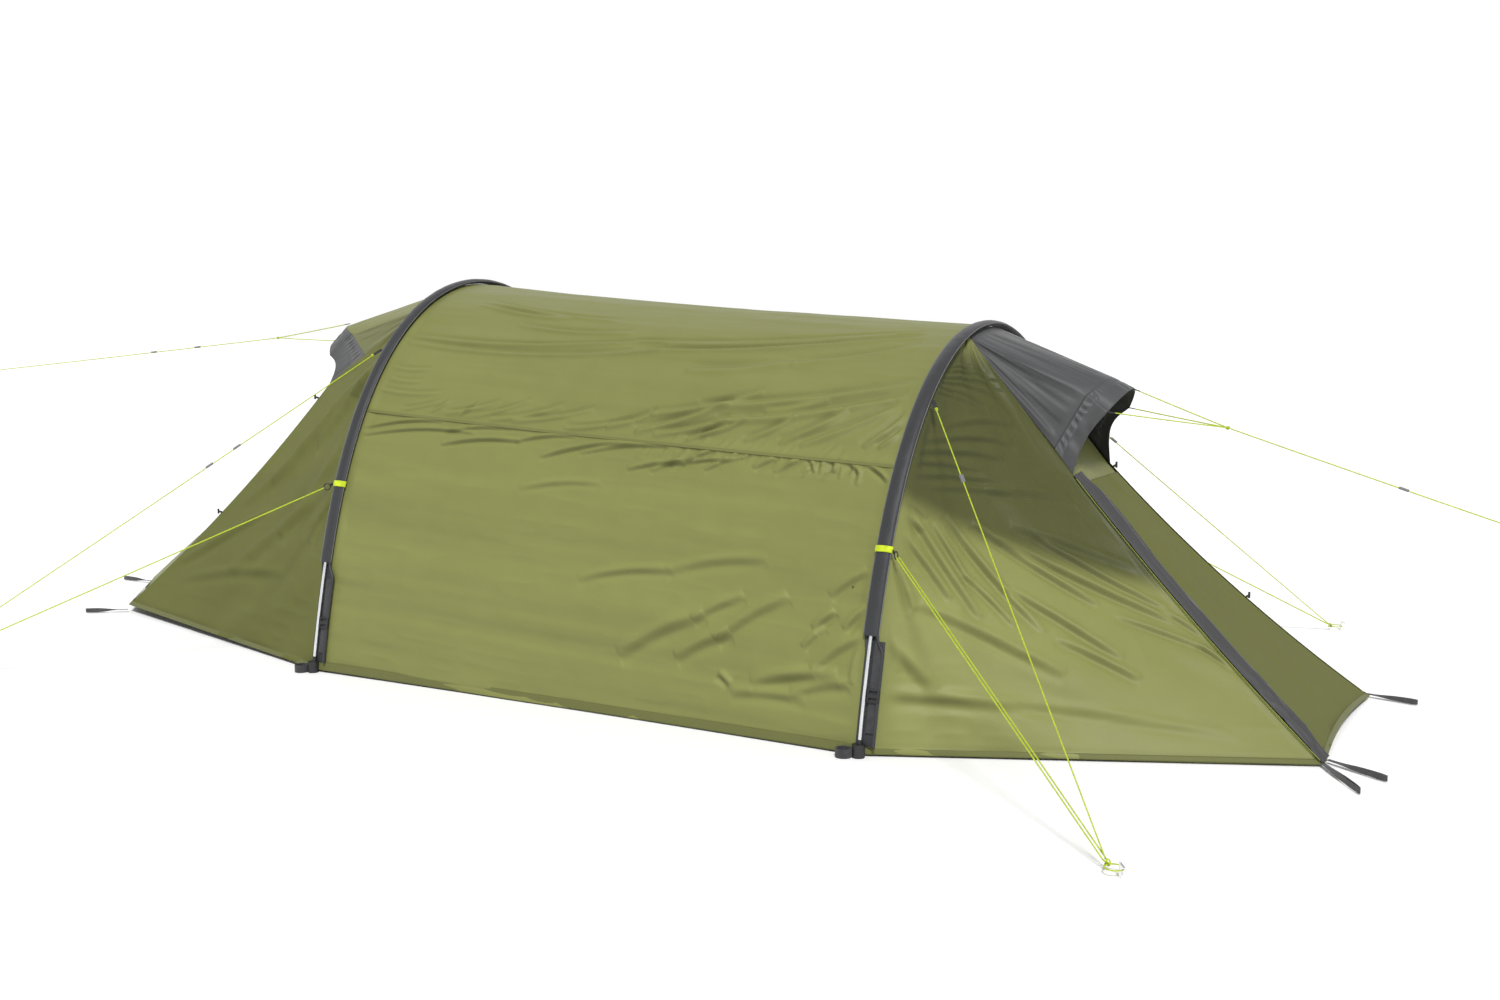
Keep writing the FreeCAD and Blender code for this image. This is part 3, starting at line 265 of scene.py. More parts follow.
def surface_normals(grid):
    down, across = np.gradient(grid, axis=0), np.gradient(grid, axis=1)
    normal = np.cross(down, across)
    size = np.linalg.norm(normal, axis=-1, keepdims=True)
    return normal / np.maximum(size, 1e-12)


def grid_mesh(name, grid, material, uv=None):
    """A smooth mesh of quads through a grid of points, with a UV map in metres."""
    rows, columns = grid.shape[:2]
    mesh = bpy.data.meshes.new(name)
    index = np.arange(rows * columns).reshape(rows, columns)
    quads = np.stack([index[:-1, :-1], index[1:, :-1], index[1:, 1:], index[:-1, 1:]], axis=-1)
    quads = quads.reshape(-1, 4)
    mesh.vertices.add(rows * columns)
    mesh.vertices.foreach_set("co", grid.reshape(-1))
    mesh.loops.add(quads.size)
    mesh.loops.foreach_set("vertex_index", quads.reshape(-1))
    mesh.polygons.add(len(quads))
    mesh.polygons.foreach_set("loop_start", np.arange(len(quads)) * 4)
    mesh.polygons.foreach_set("loop_total", np.full(len(quads), 4))
    mesh.update(calc_edges=True)
    if uv is None:
        down = np.concatenate([np.zeros((1, columns)), np.linalg.norm(np.diff(grid, axis=0), axis=-1)])
        across = np.linalg.norm(np.diff(grid, axis=1), axis=-1)
        across = np.concatenate([np.zeros((rows, 1)), across], 1)
        uv = np.stack([np.cumsum(across, axis=1), np.cumsum(down, axis=0)], axis=-1)
    layer = mesh.uv_layers.new(name="cloth")
    layer.data.foreach_set("uv", uv.reshape(-1, 2)[quads.reshape(-1)].reshape(-1))
    mesh.polygons.foreach_set("use_smooth", np.ones(len(quads), dtype=bool))
    mesh.materials.append(material)
    return new_object(name, mesh)


INSIDE = vec(0.3, 0.0, 0.2)  # a point inside the tent
TOWARDS_LIGHT = vec(0.30, -0.25, 0.90)
SHADE = "fold_shade"
SHADE_LIMITS = (-0.30, 0.55)


def fold_shade(flat_grid, grid, strength):
    """How much each point of creased cloth turns away from the light that its flat shape would meet."""
    turned = outward_of(flat_grid, INSIDE) - outward_of(grid, INSIDE)
    return np.clip(strength * (turned @ TOWARDS_LIGHT), *SHADE_LIMITS)


def set_shade(obj, shade_grid):
    """Keeps the shade of every point for the cloth's material, which darkens its colour by it."""
    layer = obj.data.attributes.new(SHADE, "FLOAT", "POINT")
    layer.data.foreach_set("value", shade_grid.reshape(-1))


def thicken(obj, thickness=FABRIC):
    solid = obj.modifiers.new("thickness", "SOLIDIFY")
    solid.thickness = thickness
    solid.offset = 0
    return obj


def ruled(first, second, columns):
    share = np.linspace(0, 1, columns)[None, :, None]
    return first[:, None, :] + (second - first)[:, None, :] * share


def outward_of(grid, centre):
    """Unit normals of a grid that all point away from a point inside the tent."""
    normals = surface_normals(grid)
    away = np.sum(normals * (grid - centre), axis=-1, keepdims=True)
    return normals * np.where(np.mean(away) < 0, -1.0, 1.0)


def displaced(grid, height):
    return grid + outward_of(grid, INSIDE) * height[..., None]


# Materials

class Nodes:
    """Short ways to add and join shader nodes in one new material."""

    def __init__(self, name):
        self.material = bpy.data.materials.new(name)
        self.material.use_nodes = True
        self.tree = self.material.node_tree
        self.shader = self.tree.nodes["Principled BSDF"]
        self.coords = self.tree.nodes.new("ShaderNodeTexCoord")

    def add(self, kind, inputs=None, **settings):
        node = self.tree.nodes.new(kind)
        for key, value in settings.items():
            setattr(node, key, value)
        for key, value in (inputs or {}).items():
            if hasattr(value, "is_output") or isinstance(value, bpy.types.NodeSocket):
                self.tree.links.new(value, node.inputs[key])
            else:
                node.inputs[key].default_value = value
        return node

    def link(self, output, name):
        self.tree.links.new(output, self.shader.inputs[name])

    def set(self, **values):
        for key, value in values.items():
            self.shader.inputs[key.replace("_", " ")].default_value = value

    def noise(self, scale, detail=3.0, where=None, roughness=0.5):
        where = where or self.coords.outputs["Object"]
        inputs = {"Vector": where, "Scale": scale, "Detail": detail, "Roughness": roughness}
        return self.add("ShaderNodeTexNoise", inputs).outputs["Fac"]

    def math(self, operation, a, b=0.0, clamp=False):
        return self.add("ShaderNodeMath", {0: a, 1: b}, operation=operation, use_clamp=clamp).outputs[0]

    def lattice(self, cell, thread_from):
        """1 on the threads that end each square cell of the UV map, 0 between them."""
        split = self.add("ShaderNodeSeparateXYZ", {"Vector": self.coords.outputs["UV"]})
        threads = []
        for axis in ("X", "Y"):
            place_in = self.math("FRACT", self.math("DIVIDE", split.outputs[axis], cell))
            threads.append(self.math("GREATER_THAN", place_in, thread_from))
        return self.math("MAXIMUM", *threads)

    def tone(self, value, colour, dark, bright, low=0.3, high=0.7):
        """The base colour: a little darker and brighter than colour where the value is low and high."""
        stops = ((low, shade(colour, dark)), (high, shade(colour, bright)))
        self.link(self.ramp(value, stops), "Base Color")

    def ramp(self, value, stops):
        node = self.add("ShaderNodeValToRGB", {"Fac": value})
        elements = node.color_ramp.elements
        while len(elements) < len(stops):
            elements.new(0.5)
        for element, (position, colour) in zip(elements, stops):
            element.position = position
            element.color = (*colour, 1.0)
        return node.outputs["Color"]

    def bump(self, height, distance, strength=1.0, below=None):
        inputs = {"Height": height, "Distance": distance, "Strength": strength}
        if below is not None:
            inputs["Normal"] = below
        return self.add("ShaderNodeBump", inputs).outputs["Normal"]


def shade(colour, factor):
    return tuple(min(1.0, c * factor) for c in colour)


THREAD_TINT, THREAD_SHADE, THREAD_FROM = 0.10, 1.5, 0.88
MESH_CELL = 0.0016


def ripstop(name, colour, roughness, sheen, grid=0.006, variation=0.05, gloss=0.22):
    """Thin coated cloth: a fine plain weave with a raised thread every few millimetres."""
    n = Nodes(name)
    raised = n.lattice(grid, THREAD_FROM)
    weave = n.noise(1800.0, 1.0)
    broad = n.noise(2.2, 4.0)
    streaks = n.noise(14.0, 3.0)
    tone = n.math("ADD", n.math("MULTIPLY", broad, 0.65), n.math("MULTIPLY", streaks, 0.35))
    base = n.ramp(tone, ((0.30, shade(colour, 1 - variation)), (0.70, shade(colour, 1 + variation))))
    # Painted shade: the base colour is darkened by the fold_shade attribute, which holds the creases' and
    # panels' painted shade, and painted highlight where it is below 0
    darker = n.add("ShaderNodeAttribute", attribute_name=SHADE).outputs["Fac"]
    base = n.add("ShaderNodeVectorMath", {"Vector": base}, operation="SCALE")
    n.tree.links.new(n.math("SUBTRACT", 1.0, darker), base.inputs["Scale"])
    threads_on = n.add("ShaderNodeMix", data_type="RGBA")
    n.tree.links.new(n.math("MULTIPLY", raised, THREAD_TINT), threads_on.inputs[0])
    cloth_colour, thread_colour = (socket for socket in threads_on.inputs if socket.type == "RGBA")
    n.tree.links.new(base.outputs["Vector"], cloth_colour)
    thread_colour.default_value = (*shade(colour, THREAD_SHADE), 1.0)
    n.link(next(socket for socket in threads_on.outputs if socket.type == "RGBA"), "Base Color")
    height = n.math("ADD", n.math("MULTIPLY", raised, 0.6), n.math("MULTIPLY", weave, 0.4))
    crumple = n.noise(42.0, 4.0, roughness=0.6)
    first = n.bump(crumple, 0.0012, 0.35)
    n.link(n.bump(height, 0.00012, 0.5, first), "Normal")
    rough = n.math("ADD", n.math("MULTIPLY", streaks, 0.14), roughness - 0.07)
    n.link(rough, "Roughness")
    n.set(Sheen_Weight=sheen, Sheen_Roughness=0.45, Specular_IOR_Level=gloss)
    return n.material


def woven(name, colour, roughness=0.8, rib=0.0022, sheen=0.15, where="UV"):
    """Webbing and tape: close ribs across the strap."""
    n = Nodes(name)
    split = n.add("ShaderNodeSeparateXYZ", {"Vector": n.coords.outputs[where]})
    ribs = n.math("SINE", n.math("MULTIPLY", split.outputs["Y"], 2 * pi / rib))
    warp = n.math("SINE", n.math("MULTIPLY", split.outputs["X"], 2 * pi / (rib * 0.6)))
    height = n.math("MULTIPLY", n.math("ADD", ribs, warp), 0.5)
    tone = n.noise(60.0, 4.0)
    n.tone(tone, colour, 0.8, 1.2)
    n.link(n.bump(height, 0.0003, 0.6), "Normal")
    n.set(Roughness=roughness, Sheen_Weight=sheen, Specular_IOR_Level=0.3)
    return n.material


def braid(name, colour, pitch=0.004, roughness=0.6):
    """Braided cord: crossing diagonal strands."""
    n = Nodes(name)
    where = n.coords.outputs["Object"]
    waves = []
    for direction in ((1.0, 1.0, 0.4), (1.0, -1.0, -0.4)):
        dot = n.add("ShaderNodeVectorMath", {0: where, 1: direction}, operation="DOT_PRODUCT")
        waves.append(n.math("SINE", n.math("MULTIPLY", dot.outputs["Value"], 2 * pi / pitch)))
    height = n.math("MAXIMUM", waves[0], waves[1])
    tone = n.noise(220.0, 2.0)
    n.tone(tone, colour, 0.85, 1.12, 0.35, 0.65)
    n.link(n.bump(height, 0.0003, 0.5), "Normal")
    n.set(Roughness=roughness, Sheen_Weight=0.1, Specular_IOR_Level=0.4)
    return n.material


def plastic(name, colour, roughness=0.45, grain=900.0):
    n = Nodes(name)
    tone = n.noise(35.0, 5.0)
    n.tone(tone, colour, 0.9, 1.15)
    n.link(n.math("ADD", n.math("MULTIPLY", tone, 0.2), roughness - 0.1), "Roughness")
    n.link(n.bump(n.noise(grain, 2.0), 0.00008, 0.4), "Normal")
    n.set(Specular_IOR_Level=0.45)
    return n.material


def metal(name, colour, roughness=0.3):
    n = Nodes(name)
    inputs = {"Vector": n.coords.outputs["Object"], "Scale": (900.0, 60.0, 30.0)}
    fine = n.noise(1.0, 3.0, n.add("ShaderNodeMapping", inputs).outputs["Vector"])
    n.tone(fine, colour, 0.88, 1.08)
    n.link(n.math("ADD", n.math("MULTIPLY", fine, 0.25), roughness - 0.12), "Roughness")
    n.link(n.bump(fine, 0.00005, 0.3), "Normal")
    n.set(Metallic=1.0)
    return n.material


def mesh_cloth(name, colour):
    """Insect mesh: fine holes between threads, as a pattern of dark and darker."""
    n = Nodes(name)
    threads = n.lattice(MESH_CELL, 0.6)
    n.tone(threads, colour, 0.3, 1.0, 0.2, 0.8)
    n.link(n.bump(threads, 0.0002, 0.6), "Normal")
    n.set(Roughness=0.85, Specular_IOR_Level=0.2)
    return n.material


OLIVE = (0.178, 0.188, 0.058)
olive = ripstop("olive ripstop", OLIVE, 0.50, 0.03)
shaded_olive = ripstop("olive ripstop of the ends", OLIVE, 0.62, 0.0, gloss=0.05)
hem_olive = ripstop("olive hem", shade(OLIVE, 0.66), 0.60, 0.1)
seam_olive = ripstop("olive seam", shade(OLIVE, 0.80), 0.55, 0.1)
hood_grey = ripstop("grey ripstop", (0.062, 0.063, 0.065), 0.46, 0.12)
flap_grey = ripstop("flap fabric", (0.052, 0.052, 0.054), 0.50, 0.12)
sleeve_cloth = ripstop("sleeve fabric", (0.034, 0.035, 0.038), 0.48, 0.15, grid=0.004)
inner_cloth = ripstop("inner fabric", (0.55, 0.53, 0.45), 0.6, 0.2)
floor_cloth = ripstop("groundsheet", (0.10, 0.10, 0.105), 0.45, 0.1)
webbing = woven("grey webbing", (0.060, 0.060, 0.064))
dark_webbing = woven("black webbing", (0.022, 0.022, 0.022))
neon_webbing = woven("neon webbing", (0.50, 0.62, 0.012), roughness=0.6)
hardware_webbing = woven("webbing on the hardware", (0.040, 0.040, 0.043), where="Object")
neon_cord = braid("neon braid", (0.40, 0.50, 0.012))
seam_grey = woven("sleeve edge", (0.14, 0.14, 0.15))
neon_thread = braid("neon piping", (0.26, 0.31, 0.05), pitch=0.002)
shock_cord = braid("shock cord", (0.04, 0.04, 0.04), pitch=0.002)
black_plastic = plastic("black plastic", (0.018, 0.018, 0.019))
grey_plastic = plastic("grey plastic", (0.16, 0.16, 0.165))
neon_plastic = plastic("neon plastic", (0.60, 0.76, 0.015), 0.35)
aluminium = metal("aluminium", (0.84, 0.85, 0.87))
insect_mesh = mesh_cloth("insect mesh", (0.045, 0.045, 0.045))
zip_tape = woven("zip tape", (0.035, 0.035, 0.036), rib=0.0014, where="Object")


def paint(node, material):
    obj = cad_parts[node]
    if not obj.data.materials:
        obj.data.materials.append(material)
    for slot in obj.material_slots:
        slot.material = material


CARRIED_OVER = {
    "rear_pole_sections": aluminium, "front_pole_sections": aluminium, "pole_ferrules": aluminium,
    "pole_shock_cords": shock_cord, "pole_tips": black_plastic, "foot_cups": black_plastic,
    "foot_peg_loops": hardware_webbing, "foot_straps": hardware_webbing,
    "ladder_lock_buckles": black_plastic, "tie_back_toggles": black_plastic,
    "door_zip": zip_tape, "door_zip_fixed_tape": zip_tape, "door_zip_slider": neon_plastic,
    "inner_zip": zip_tape, "inner_zip_slider": neon_plastic, "inner_hangers": shock_cord,
    "guy_webbing_tabs": dark_webbing, "guy_pegs": aluminium, "guy_line_clips": grey_plastic,
}
for node, material in CARRIED_OVER.items():
    paint(node, material)
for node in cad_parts:
    if node.endswith("_tensioner"):
        paint(node, grey_plastic)


def place(obj, body, slot, *nodes):
    """The piece rides on a body and stands for its CAD nodes."""
    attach(obj, body)
    if nodes:
        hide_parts(*nodes)
    return obj


# How strongly creases get painted shade and painted highlight in the cloth's colour
FOLD_CONTRAST = 0.55


def cloth(name, flat_grid, grid, material, body, slot, nodes, painted_shade=0.0):
    """A sheet of cloth; flat_grid is its shape with no creases, which gives the size it is cut to and the
    way each point faced the light before creasing, for the creases' painted shade and painted highlight. Its
    colour is also darkened by the given share of painted shade.
    """
    obj = place(thicken(grid_mesh(name, grid, material)), body, slot, *nodes)
    set_shade(obj, 1 - (1 - fold_shade(flat_grid, grid, FOLD_CONTRAST)) * (1 - painted_shade))
    return obj


def tape(name, grid, lift, material, slot, *nodes):
    """A narrow strip sewn on the cloth of the tent, raised off the grid by lift."""
    obj = thicken(grid_mesh(name, displaced(grid, np.full(grid.shape[:2], lift)), material))
    return place(obj, "tent", slot, *nodes)


SEAM_LIFT, HEM_LIFT = 0.0012, 0.0014


# Fly between the hoops

BODY_LENGTH = FRONT_HOOP[0] - REAR_HOOP[0]
BODY_HOLLOW = 0.012
ROOF_DEPTH, SIDE_DEPTH = 1.5, 1.25  # of the creases, as a share of what their heights say
SEAM_HALF_U, HEM_TAPE_U = 0.0028, 0.016
ROOF_LINES = (  # along from the rear hoop, and up from the near seam
    (1, 27.6, 88, 34.6, 8, 2.8), (78, 33.2, 159, 50.4, 8, 3.2), (4, 24.7, 90, 30.3, 8, 2.6),
    (80, 29.3, 160, 46.8, 9, 3.4), (89, 33.1, 152, 46.8, 7, 2.6), (18, 44.7, 53, 41.3, 8, 2.4),
    (20, 47.4, 68, 42.4, 8, 2), (37, 36.5, 76, 36.9, 8, 2.2), (100, 23.6, 131, 29.9, 14, 3),
    (129, 29, 161, 41, 12, 3.4), (92, 2.9, 118, 14.2, 9, 3.6), (108, 12.1, 165, 25.4, 11, 4),
    (98, 2.5, 119, 9.3, 8, 3.4), (115, 8, 165, 20.7, 11, 3.8), (83, 3, 97, 9.4, 8, 3),
    (95, 8.3, 126, 18.4, 9, 3.2), (108, 2, 119, 7.4, 6, 3), (112, 3.4, 125, 10, 6, 3),
    (135, 3.5, 151, 14.5, 8, 3.4), (141, 3.3, 164, 17.4, 10, 3.6), (158, 4.4, 167, 14.8, 9, 3.2),
    (162, 4.4, 167, 10, 7, 2.8), (70, 1.6, 90, 6.3, 6, 2.6), (52, 2.1, 77, 8.2, 6, 2.6),
    (39, 2.1, 56, 8.9, 5, 2.2), (45, 1.6, 67, 8.2, 6, 2.4), (34, 2.1, 39, 5.8, 4, 2.2),
    (24, 2.1, 29, 5.8, 4, 2), (29, 2.1, 46, 7.4, 5, 2.2), (13, 1.9, 26, 5.6, 4, 1.8),
    (3, 7.3, 25, 8.1, 5, 1.8), (5, 11, 17, 11.2, 5, 1.6), (4, 15.1, 18, 15.5, 5, 1.6),
    (128, 12.2, 145, 17.3, 9, 2.6), (125, 3.3, 138, 11.3, 7, 3),
)
SIDE_LINES = (  # along from the rear hoop, and down from the seam
    (2, 5.3, 29, 0.2, 5, 3.2), (3, 7.3, 41, 2.6, 5, 3.2), (30, 3.6, 53, 0, 5, 2.6),
    (31, 7.2, 57, 3.3, 6, 3.6), (55, 3.8, 74, 0.2, 5, 2.8), (65, 7.1, 93, 0.2, 6, 3.6),
    (77, 4.7, 104, 0, 6, 3.4), (93, 7.7, 110, 4.1, 6, 3), (100, 7.4, 113, 2.7, 6, 3.4),
    (110, 4.1, 117, 0, 5, 3), (106, 5.8, 122, 2.1, 5, 3), (120, 3.4, 125, 0, 5, 2.8),
    (116, 5.7, 126, 1.1, 5, 2.8), (126, 1.8, 128, 0, 4, 2.4), (130, 3.9, 135, 0.5, 6, 3),
    (136, 4.5, 142, 0.2, 6, 3.2), (145, 0, 147, 3.4, 5, 2.6), (152, 0, 152, 3.1, 7, 3.8),
    (156, 0, 159, 2.5, 6, 3), (161, 0, 167, 3.8, 6, 3.4), (149, 0, 148, 1.4, 4, 2.4),
    (61, 16.6, 86, 12.4, 8, 2), (85, 37.9, 113, 32.1, 10, 2.6), (111, 32.4, 139, 26.2, 12, 2.4),
    (100, 54.8, 124, 41.4, 16, 4.4), (121, 43.4, 134, 35.7, 12, 3.6), (117, 53.1, 132, 44.9, 14, 4.2),
    (128, 47.4, 146, 34.3, 14, 4.4), (154, 41.2, 159, 36.3, 9, 3.8), (162, 40.3, 167, 34.3, 9, 3.4),
    (155, 50.5, 167, 40.9, 12, 3.6), (139, 55.8, 162, 50.7, 14, 4), (130, 55.2, 134, 57.6, 9, 3),
    (157, 32.9, 166, 25.8, 10, 3), (166, 52.6, 167, 43.8, 8, 3.4), (150, 56.6, 165, 52.4, 12, 3),
    (152, 46, 157, 40.6, 8, 2.6), (134, 59.2, 154, 57.6, 12, 2.6),
)


def body_grid(u0, u1, rows, columns):
    """The stretched cloth from hoop to hoop, with the slight hollow that it has between them."""
    u = np.linspace(u0, u1, rows)
    grid = ruled(rear_hoop.point(u, FLY_OFFSET), front_hoop.point(u, FLY_OFFSET), columns)
    share = np.linspace(0, 1, columns)[None, :]
    return displaced(grid, -BODY_HOLLOW * np.sin(pi * share) * np.ones((rows, 1)))


def tension(x, y, seed):
    """Long low waves that run with the pull of the cloth, and a fine crumple on top."""
    waves = 0.0050 * noise(x * 1.1, y * 9, seed) + 0.0020 * noise(x * 2.4, y * 27, seed + 1)
    return waves + 0.0007 * ridges(x * 9, y * 30, seed + 2)


def body_height(x, y, girth, lines, depth, seed):
    """Creases of the fly between the hoops: none at its edges, which are sewn down."""
    height = tension(x, y, seed) + depth * folds(x, y, lines)
    height = height * smooth(y, 0.0, 0.008) * smooth(girth - y, 0.0, 0.008)
    return height * smooth(x, 0.016, 0.050) * smooth(BODY_LENGTH - x, 0.016, 0.050)


def girth_of(grid):
    """The distance of each point from its column's first point, round the tent."""
    steps = np.linalg.norm(np.diff(grid, axis=0), axis=-1)
    return np.concatenate([np.zeros((1, grid.shape[1])), np.cumsum(steps, axis=0)])


def make_body_panels():
    columns = 400
    x = np.linspace(0, BODY_LENGTH, columns)[None, :]
    grid = body_grid(-SEAM_U, SEAM_U, 300, columns)
    y = girth_of(grid)
    x_all = x * np.ones_like(y)
    far_y = y[-1:] - y
    height = body_height(x_all, y, y[-1:], ROOF_LINES, ROOF_DEPTH, 3)
    height += folds(x_all + 0.05, far_y, ROOF_LINES) * smooth(far_y, 0.0, 0.008) * smooth(x_all, 0.016, 0.05)
    height += puckers(x_all, y, (0.9, 0.004), (1.66, 0.004), 16, 0.9, 0.035, 0.005, 0.0026, 11)
    cloth("roof_panel_cloth", grid, displaced(grid, height), olive, "tent", "olive_fly",
          ["roof_panel"])
    for side, sign, seed in (("near", -1, 5), ("far", 1, 7)):
        grid = body_grid(sign * SEAM_U, sign * CLOTH_HEM_U, 220, columns)
        y = girth_of(grid)
        x_all = x * np.ones_like(y)
        height = body_height(x_all, y, y[-1:] + 1.0, SIDE_LINES, SIDE_DEPTH, seed)
        height += puckers(x_all, y, (0.95, 0.004), (1.60, 0.004), 15, -0.8, 0.040, 0.005, 0.0030, seed)
        height += puckers(x_all, y, (1.46, 0.004), (1.62, 0.004), 4, 0.1, 0.045, 0.005, 0.0036, seed + 1)
        height += stitching(y[-1:] - y, 0.016, 0.003, 0.0010)
        name = side + "_side_panel"
        cloth(name + "_cloth", grid, displaced(grid, height), olive, "tent", "olive_fly",
              [name])
        seam = body_grid(sign * (SEAM_U - SEAM_HALF_U), sign * (SEAM_U + SEAM_HALF_U), 6, 120)
        tape(side + "_seam_tape", seam, SEAM_LIFT, seam_olive, "olive_fly")
        hem = body_grid(sign * (CLOTH_HEM_U - HEM_TAPE_U), sign * CLOTH_HEM_U, 6, 120)
        tape(side + "_hem_tape", hem, SEAM_LIFT, hem_olive, "grey_webbing", "hem_tapes")


# Both ends of the fly

FRONT_LINES = (  # across from the hoop to the edge, and down from the hood, on a panel of 70 x 120 cm
    (4, 16.5, 54, 12, 5, 2.2), (3, 18.6, 65, 13.5, 5, 2.6), (3, 21.1, 62, 16.2, 5, 2.8),
    (3, 22.9, 55, 19.8, 5, 2.8), (3, 25, 39, 23.8, 5, 2.4), (3, 27.1, 30, 25.6, 5, 2.2),
    (6, 41.5, 48, 33.7, 9, 3), (4, 45.4, 40, 39.4, 9, 3.2), (3, 49, 30, 44.8, 8, 2.8),
    (3, 52.6, 40, 46.3, 9, 3), (10, 54.1, 39, 49.3, 9, 2.4), (3, 59.5, 10, 62.3, 8, 3),
    (3, 62.6, 9, 66.2, 8, 3.4), (14, 34.9, 54, 27.1, 10, 2.4), (5, 61, 22, 86, 10, 5),
    (4, 67.7, 16, 82, 9, 4.5), (16, 60, 35, 88, 11, 5.5), (24, 60, 51, 77.5, 12, 6),
    (31, 62.2, 66, 80.5, 12, 5.5), (42, 59.8, 67, 77.2, 10, 4), (30, 76, 49, 93, 12, 5),
    (20, 75, 29, 87, 9, 4.5), (3, 75.5, 8, 86, 9, 4), (9, 83.9, 36, 98.5, 14, 4.5),
    (37, 89, 50, 98.5, 12, 4.5), (67, 87.8, 70, 94.7, 7, 4), (3, 93.5, 12, 104.4, 14, 4),
    (2, 105.3, 26, 108, 16, 3), (36, 58.3, 67, 65, 13, 3), (12, 63.2, 21, 77.5, 8, 4),
    (0, 83.3, 5, 100.8, 10, 4), (65, 77.3, 70, 85.1, 8, 2.5), (53, 80.5, 68, 88.5, 10, 3.5),
    (2, 106, 60, 112, 14, 2), (30, 50, 62, 47, 16, 3),
)
REAR_LINES = (  # the same, at the rear
    (10, 20, 42, 58, 26, 7), (20, 26, 56, 72, 30, 8), (4, 40, 30, 86, 28, 7), (34, 36, 62, 80, 24, 6),
    (12, 66, 44, 100, 26, 6), (2, 16, 20, 34, 16, 5), (46, 80, 68, 102, 18, 5), (2, 60, 12, 86, 14, 4),
    (20, 96, 60, 106, 16, 3),
)
PANEL_WIDTH, PANEL_DROP = 0.7, 1.2


def end_height(s, t, lines, hollow, seed):
    """Creases of an end's side panel, and the hollow that lies above its middle."""
    x, y = s * PANEL_WIDTH, t * PANEL_DROP
    height = folds(x, y, lines)
    height += 0.0060 * noise(x * 3 + y * 3, y * 8 - x * 8, seed) + 0.0009 * ridges(x * 14, y * 24, seed + 2)
    crest = 0.49 + 0.08 * s
    drawn_in = np.where(t < crest, t / crest, 1 - smooth(t, crest, crest + 0.30))
    height -= hollow * np.sin(pi * np.clip(s, 0, 1)) ** 0.7 * drawn_in
    fade = smooth(s, 0.03, 0.10) * smooth(1 - s, 0.0, 0.03) * smooth(t, 0.0, 0.02)
    return height * fade


def make_end_side_panels():
    rows, columns = 230, 210
    t = np.linspace(0, 1, rows)
    s_all, t_all = np.meshgrid(np.linspace(0, 1, columns), t)
    for end, hoop, edge, hood_u, dx, lines, hollow, painted_shade_high, painted_shade_low in (
        ("front", front_hoop, front_edge, FRONT_HOOD_U, 0.001, FRONT_LINES, 0.040, 0.64, -0.06),
        ("rear", rear_hoop, rear_edge, REAR_HOOD_U, -0.001, REAR_LINES, 0.022, 0.26, 0.34),
    ):
        first = hoop.point(mix(hood_u, CLOTH_HEM_U, t), FLY_OFFSET, dx)
        grid = ruled(first, edge.at(t), columns)
        for (side, flip), seed in zip(SIDES, (21, 25)):
            name = f"{end}_{side}_side_panel"
            height = end_height(s_all, t_all, lines, hollow, seed)
            height += stitching((1 - t_all) * PANEL_DROP, 0.018, 0.004, 0.0012)
            # Painted shade in the colour: on the front panels a dark upper part where the hood shades them
            # and a slightly lighter lower part; on the rear panels darker all over, a little more low down,
            # for their turn away from the light
            lower = smooth(t_all, 0.46 + 0.09 * s_all, 0.53 + 0.09 * s_all)
            dim = painted_shade_low + (painted_shade_high - painted_shade_low) * (1 - lower) * smooth(t_all, 0.0, 0.10)
            fabric = olive if end == "front" else shaded_olive
            cloth(name + "_cloth", grid * flip, displaced(grid * flip, height), fabric, "tent", "olive_fly",
                  [name], painted_shade=dim)
            hem_t = np.linspace(0.988, 1, 5)
            hem_hoop = hoop.point(mix(hood_u, CLOTH_HEM_U, hem_t), FLY_OFFSET, dx)
            hem = ruled(hem_hoop, edge.at(hem_t), 120) * flip
            tape(f"{end}_{side}_hem_tape", hem, HEM_LIFT, hem_olive, "olive_fly")


def hood_line(points, w, hollow_to=None):
    """A point of a hood's seam or rim; w runs from -1 near to 1 far.

    Its sides draw back towards hollow_to, the same line of the hood's seam."""
    low, corner, crown = (vec(*p) for p in points)
    size = np.abs(w)
    top_share = np.clip(size / HOOD_CORNER_W, 0, 1)[..., None]
    arch = crown + (vec(corner[0], 0, corner[2]) - crown) * top_share**2
    arch = arch + vec(0, corner[1], 0) * top_share
    side_share = np.clip((size - HOOD_CORNER_W) / (1 - HOOD_CORNER_W), 0, 1)[..., None]
    point = np.where((size < HOOD_CORNER_W)[..., None], arch, mix(corner, low, side_share))
    if hollow_to is not None:
        back = np.where(w < 0, *SIDE_HOLLOW)[..., None] * np.sin(pi * side_share)
        seam = hood_line(hollow_to, size)
        point = mix(point, seam, back)
    return point * np.where(w < 0, -1.0, 1.0)[..., None] ** vec(0, 1, 0)


def hood_height(w, v, seed):
    """Lengthwise folds of a hood, and a fan of them on each side."""
    long_folds = 0.0022 * noise(w * 9, v * 1.6, seed) + 0.0011 * noise(w * 24, v * 2.5, seed + 1)
    side = smooth(np.abs(w), HOOD_CORNER_W - 0.02, HOOD_CORNER_W + 0.1)
    fan = -0.003 * side * np.sin(pi * v) * smooth(1 - np.abs(w), 0.0, 0.1)
    fade = smooth(v, 0.04, 0.16) * smooth(1 - v, 0.0, 0.12) * smooth(1 - np.abs(w), 0.0, 0.05)
    return (long_folds + fan) * fade


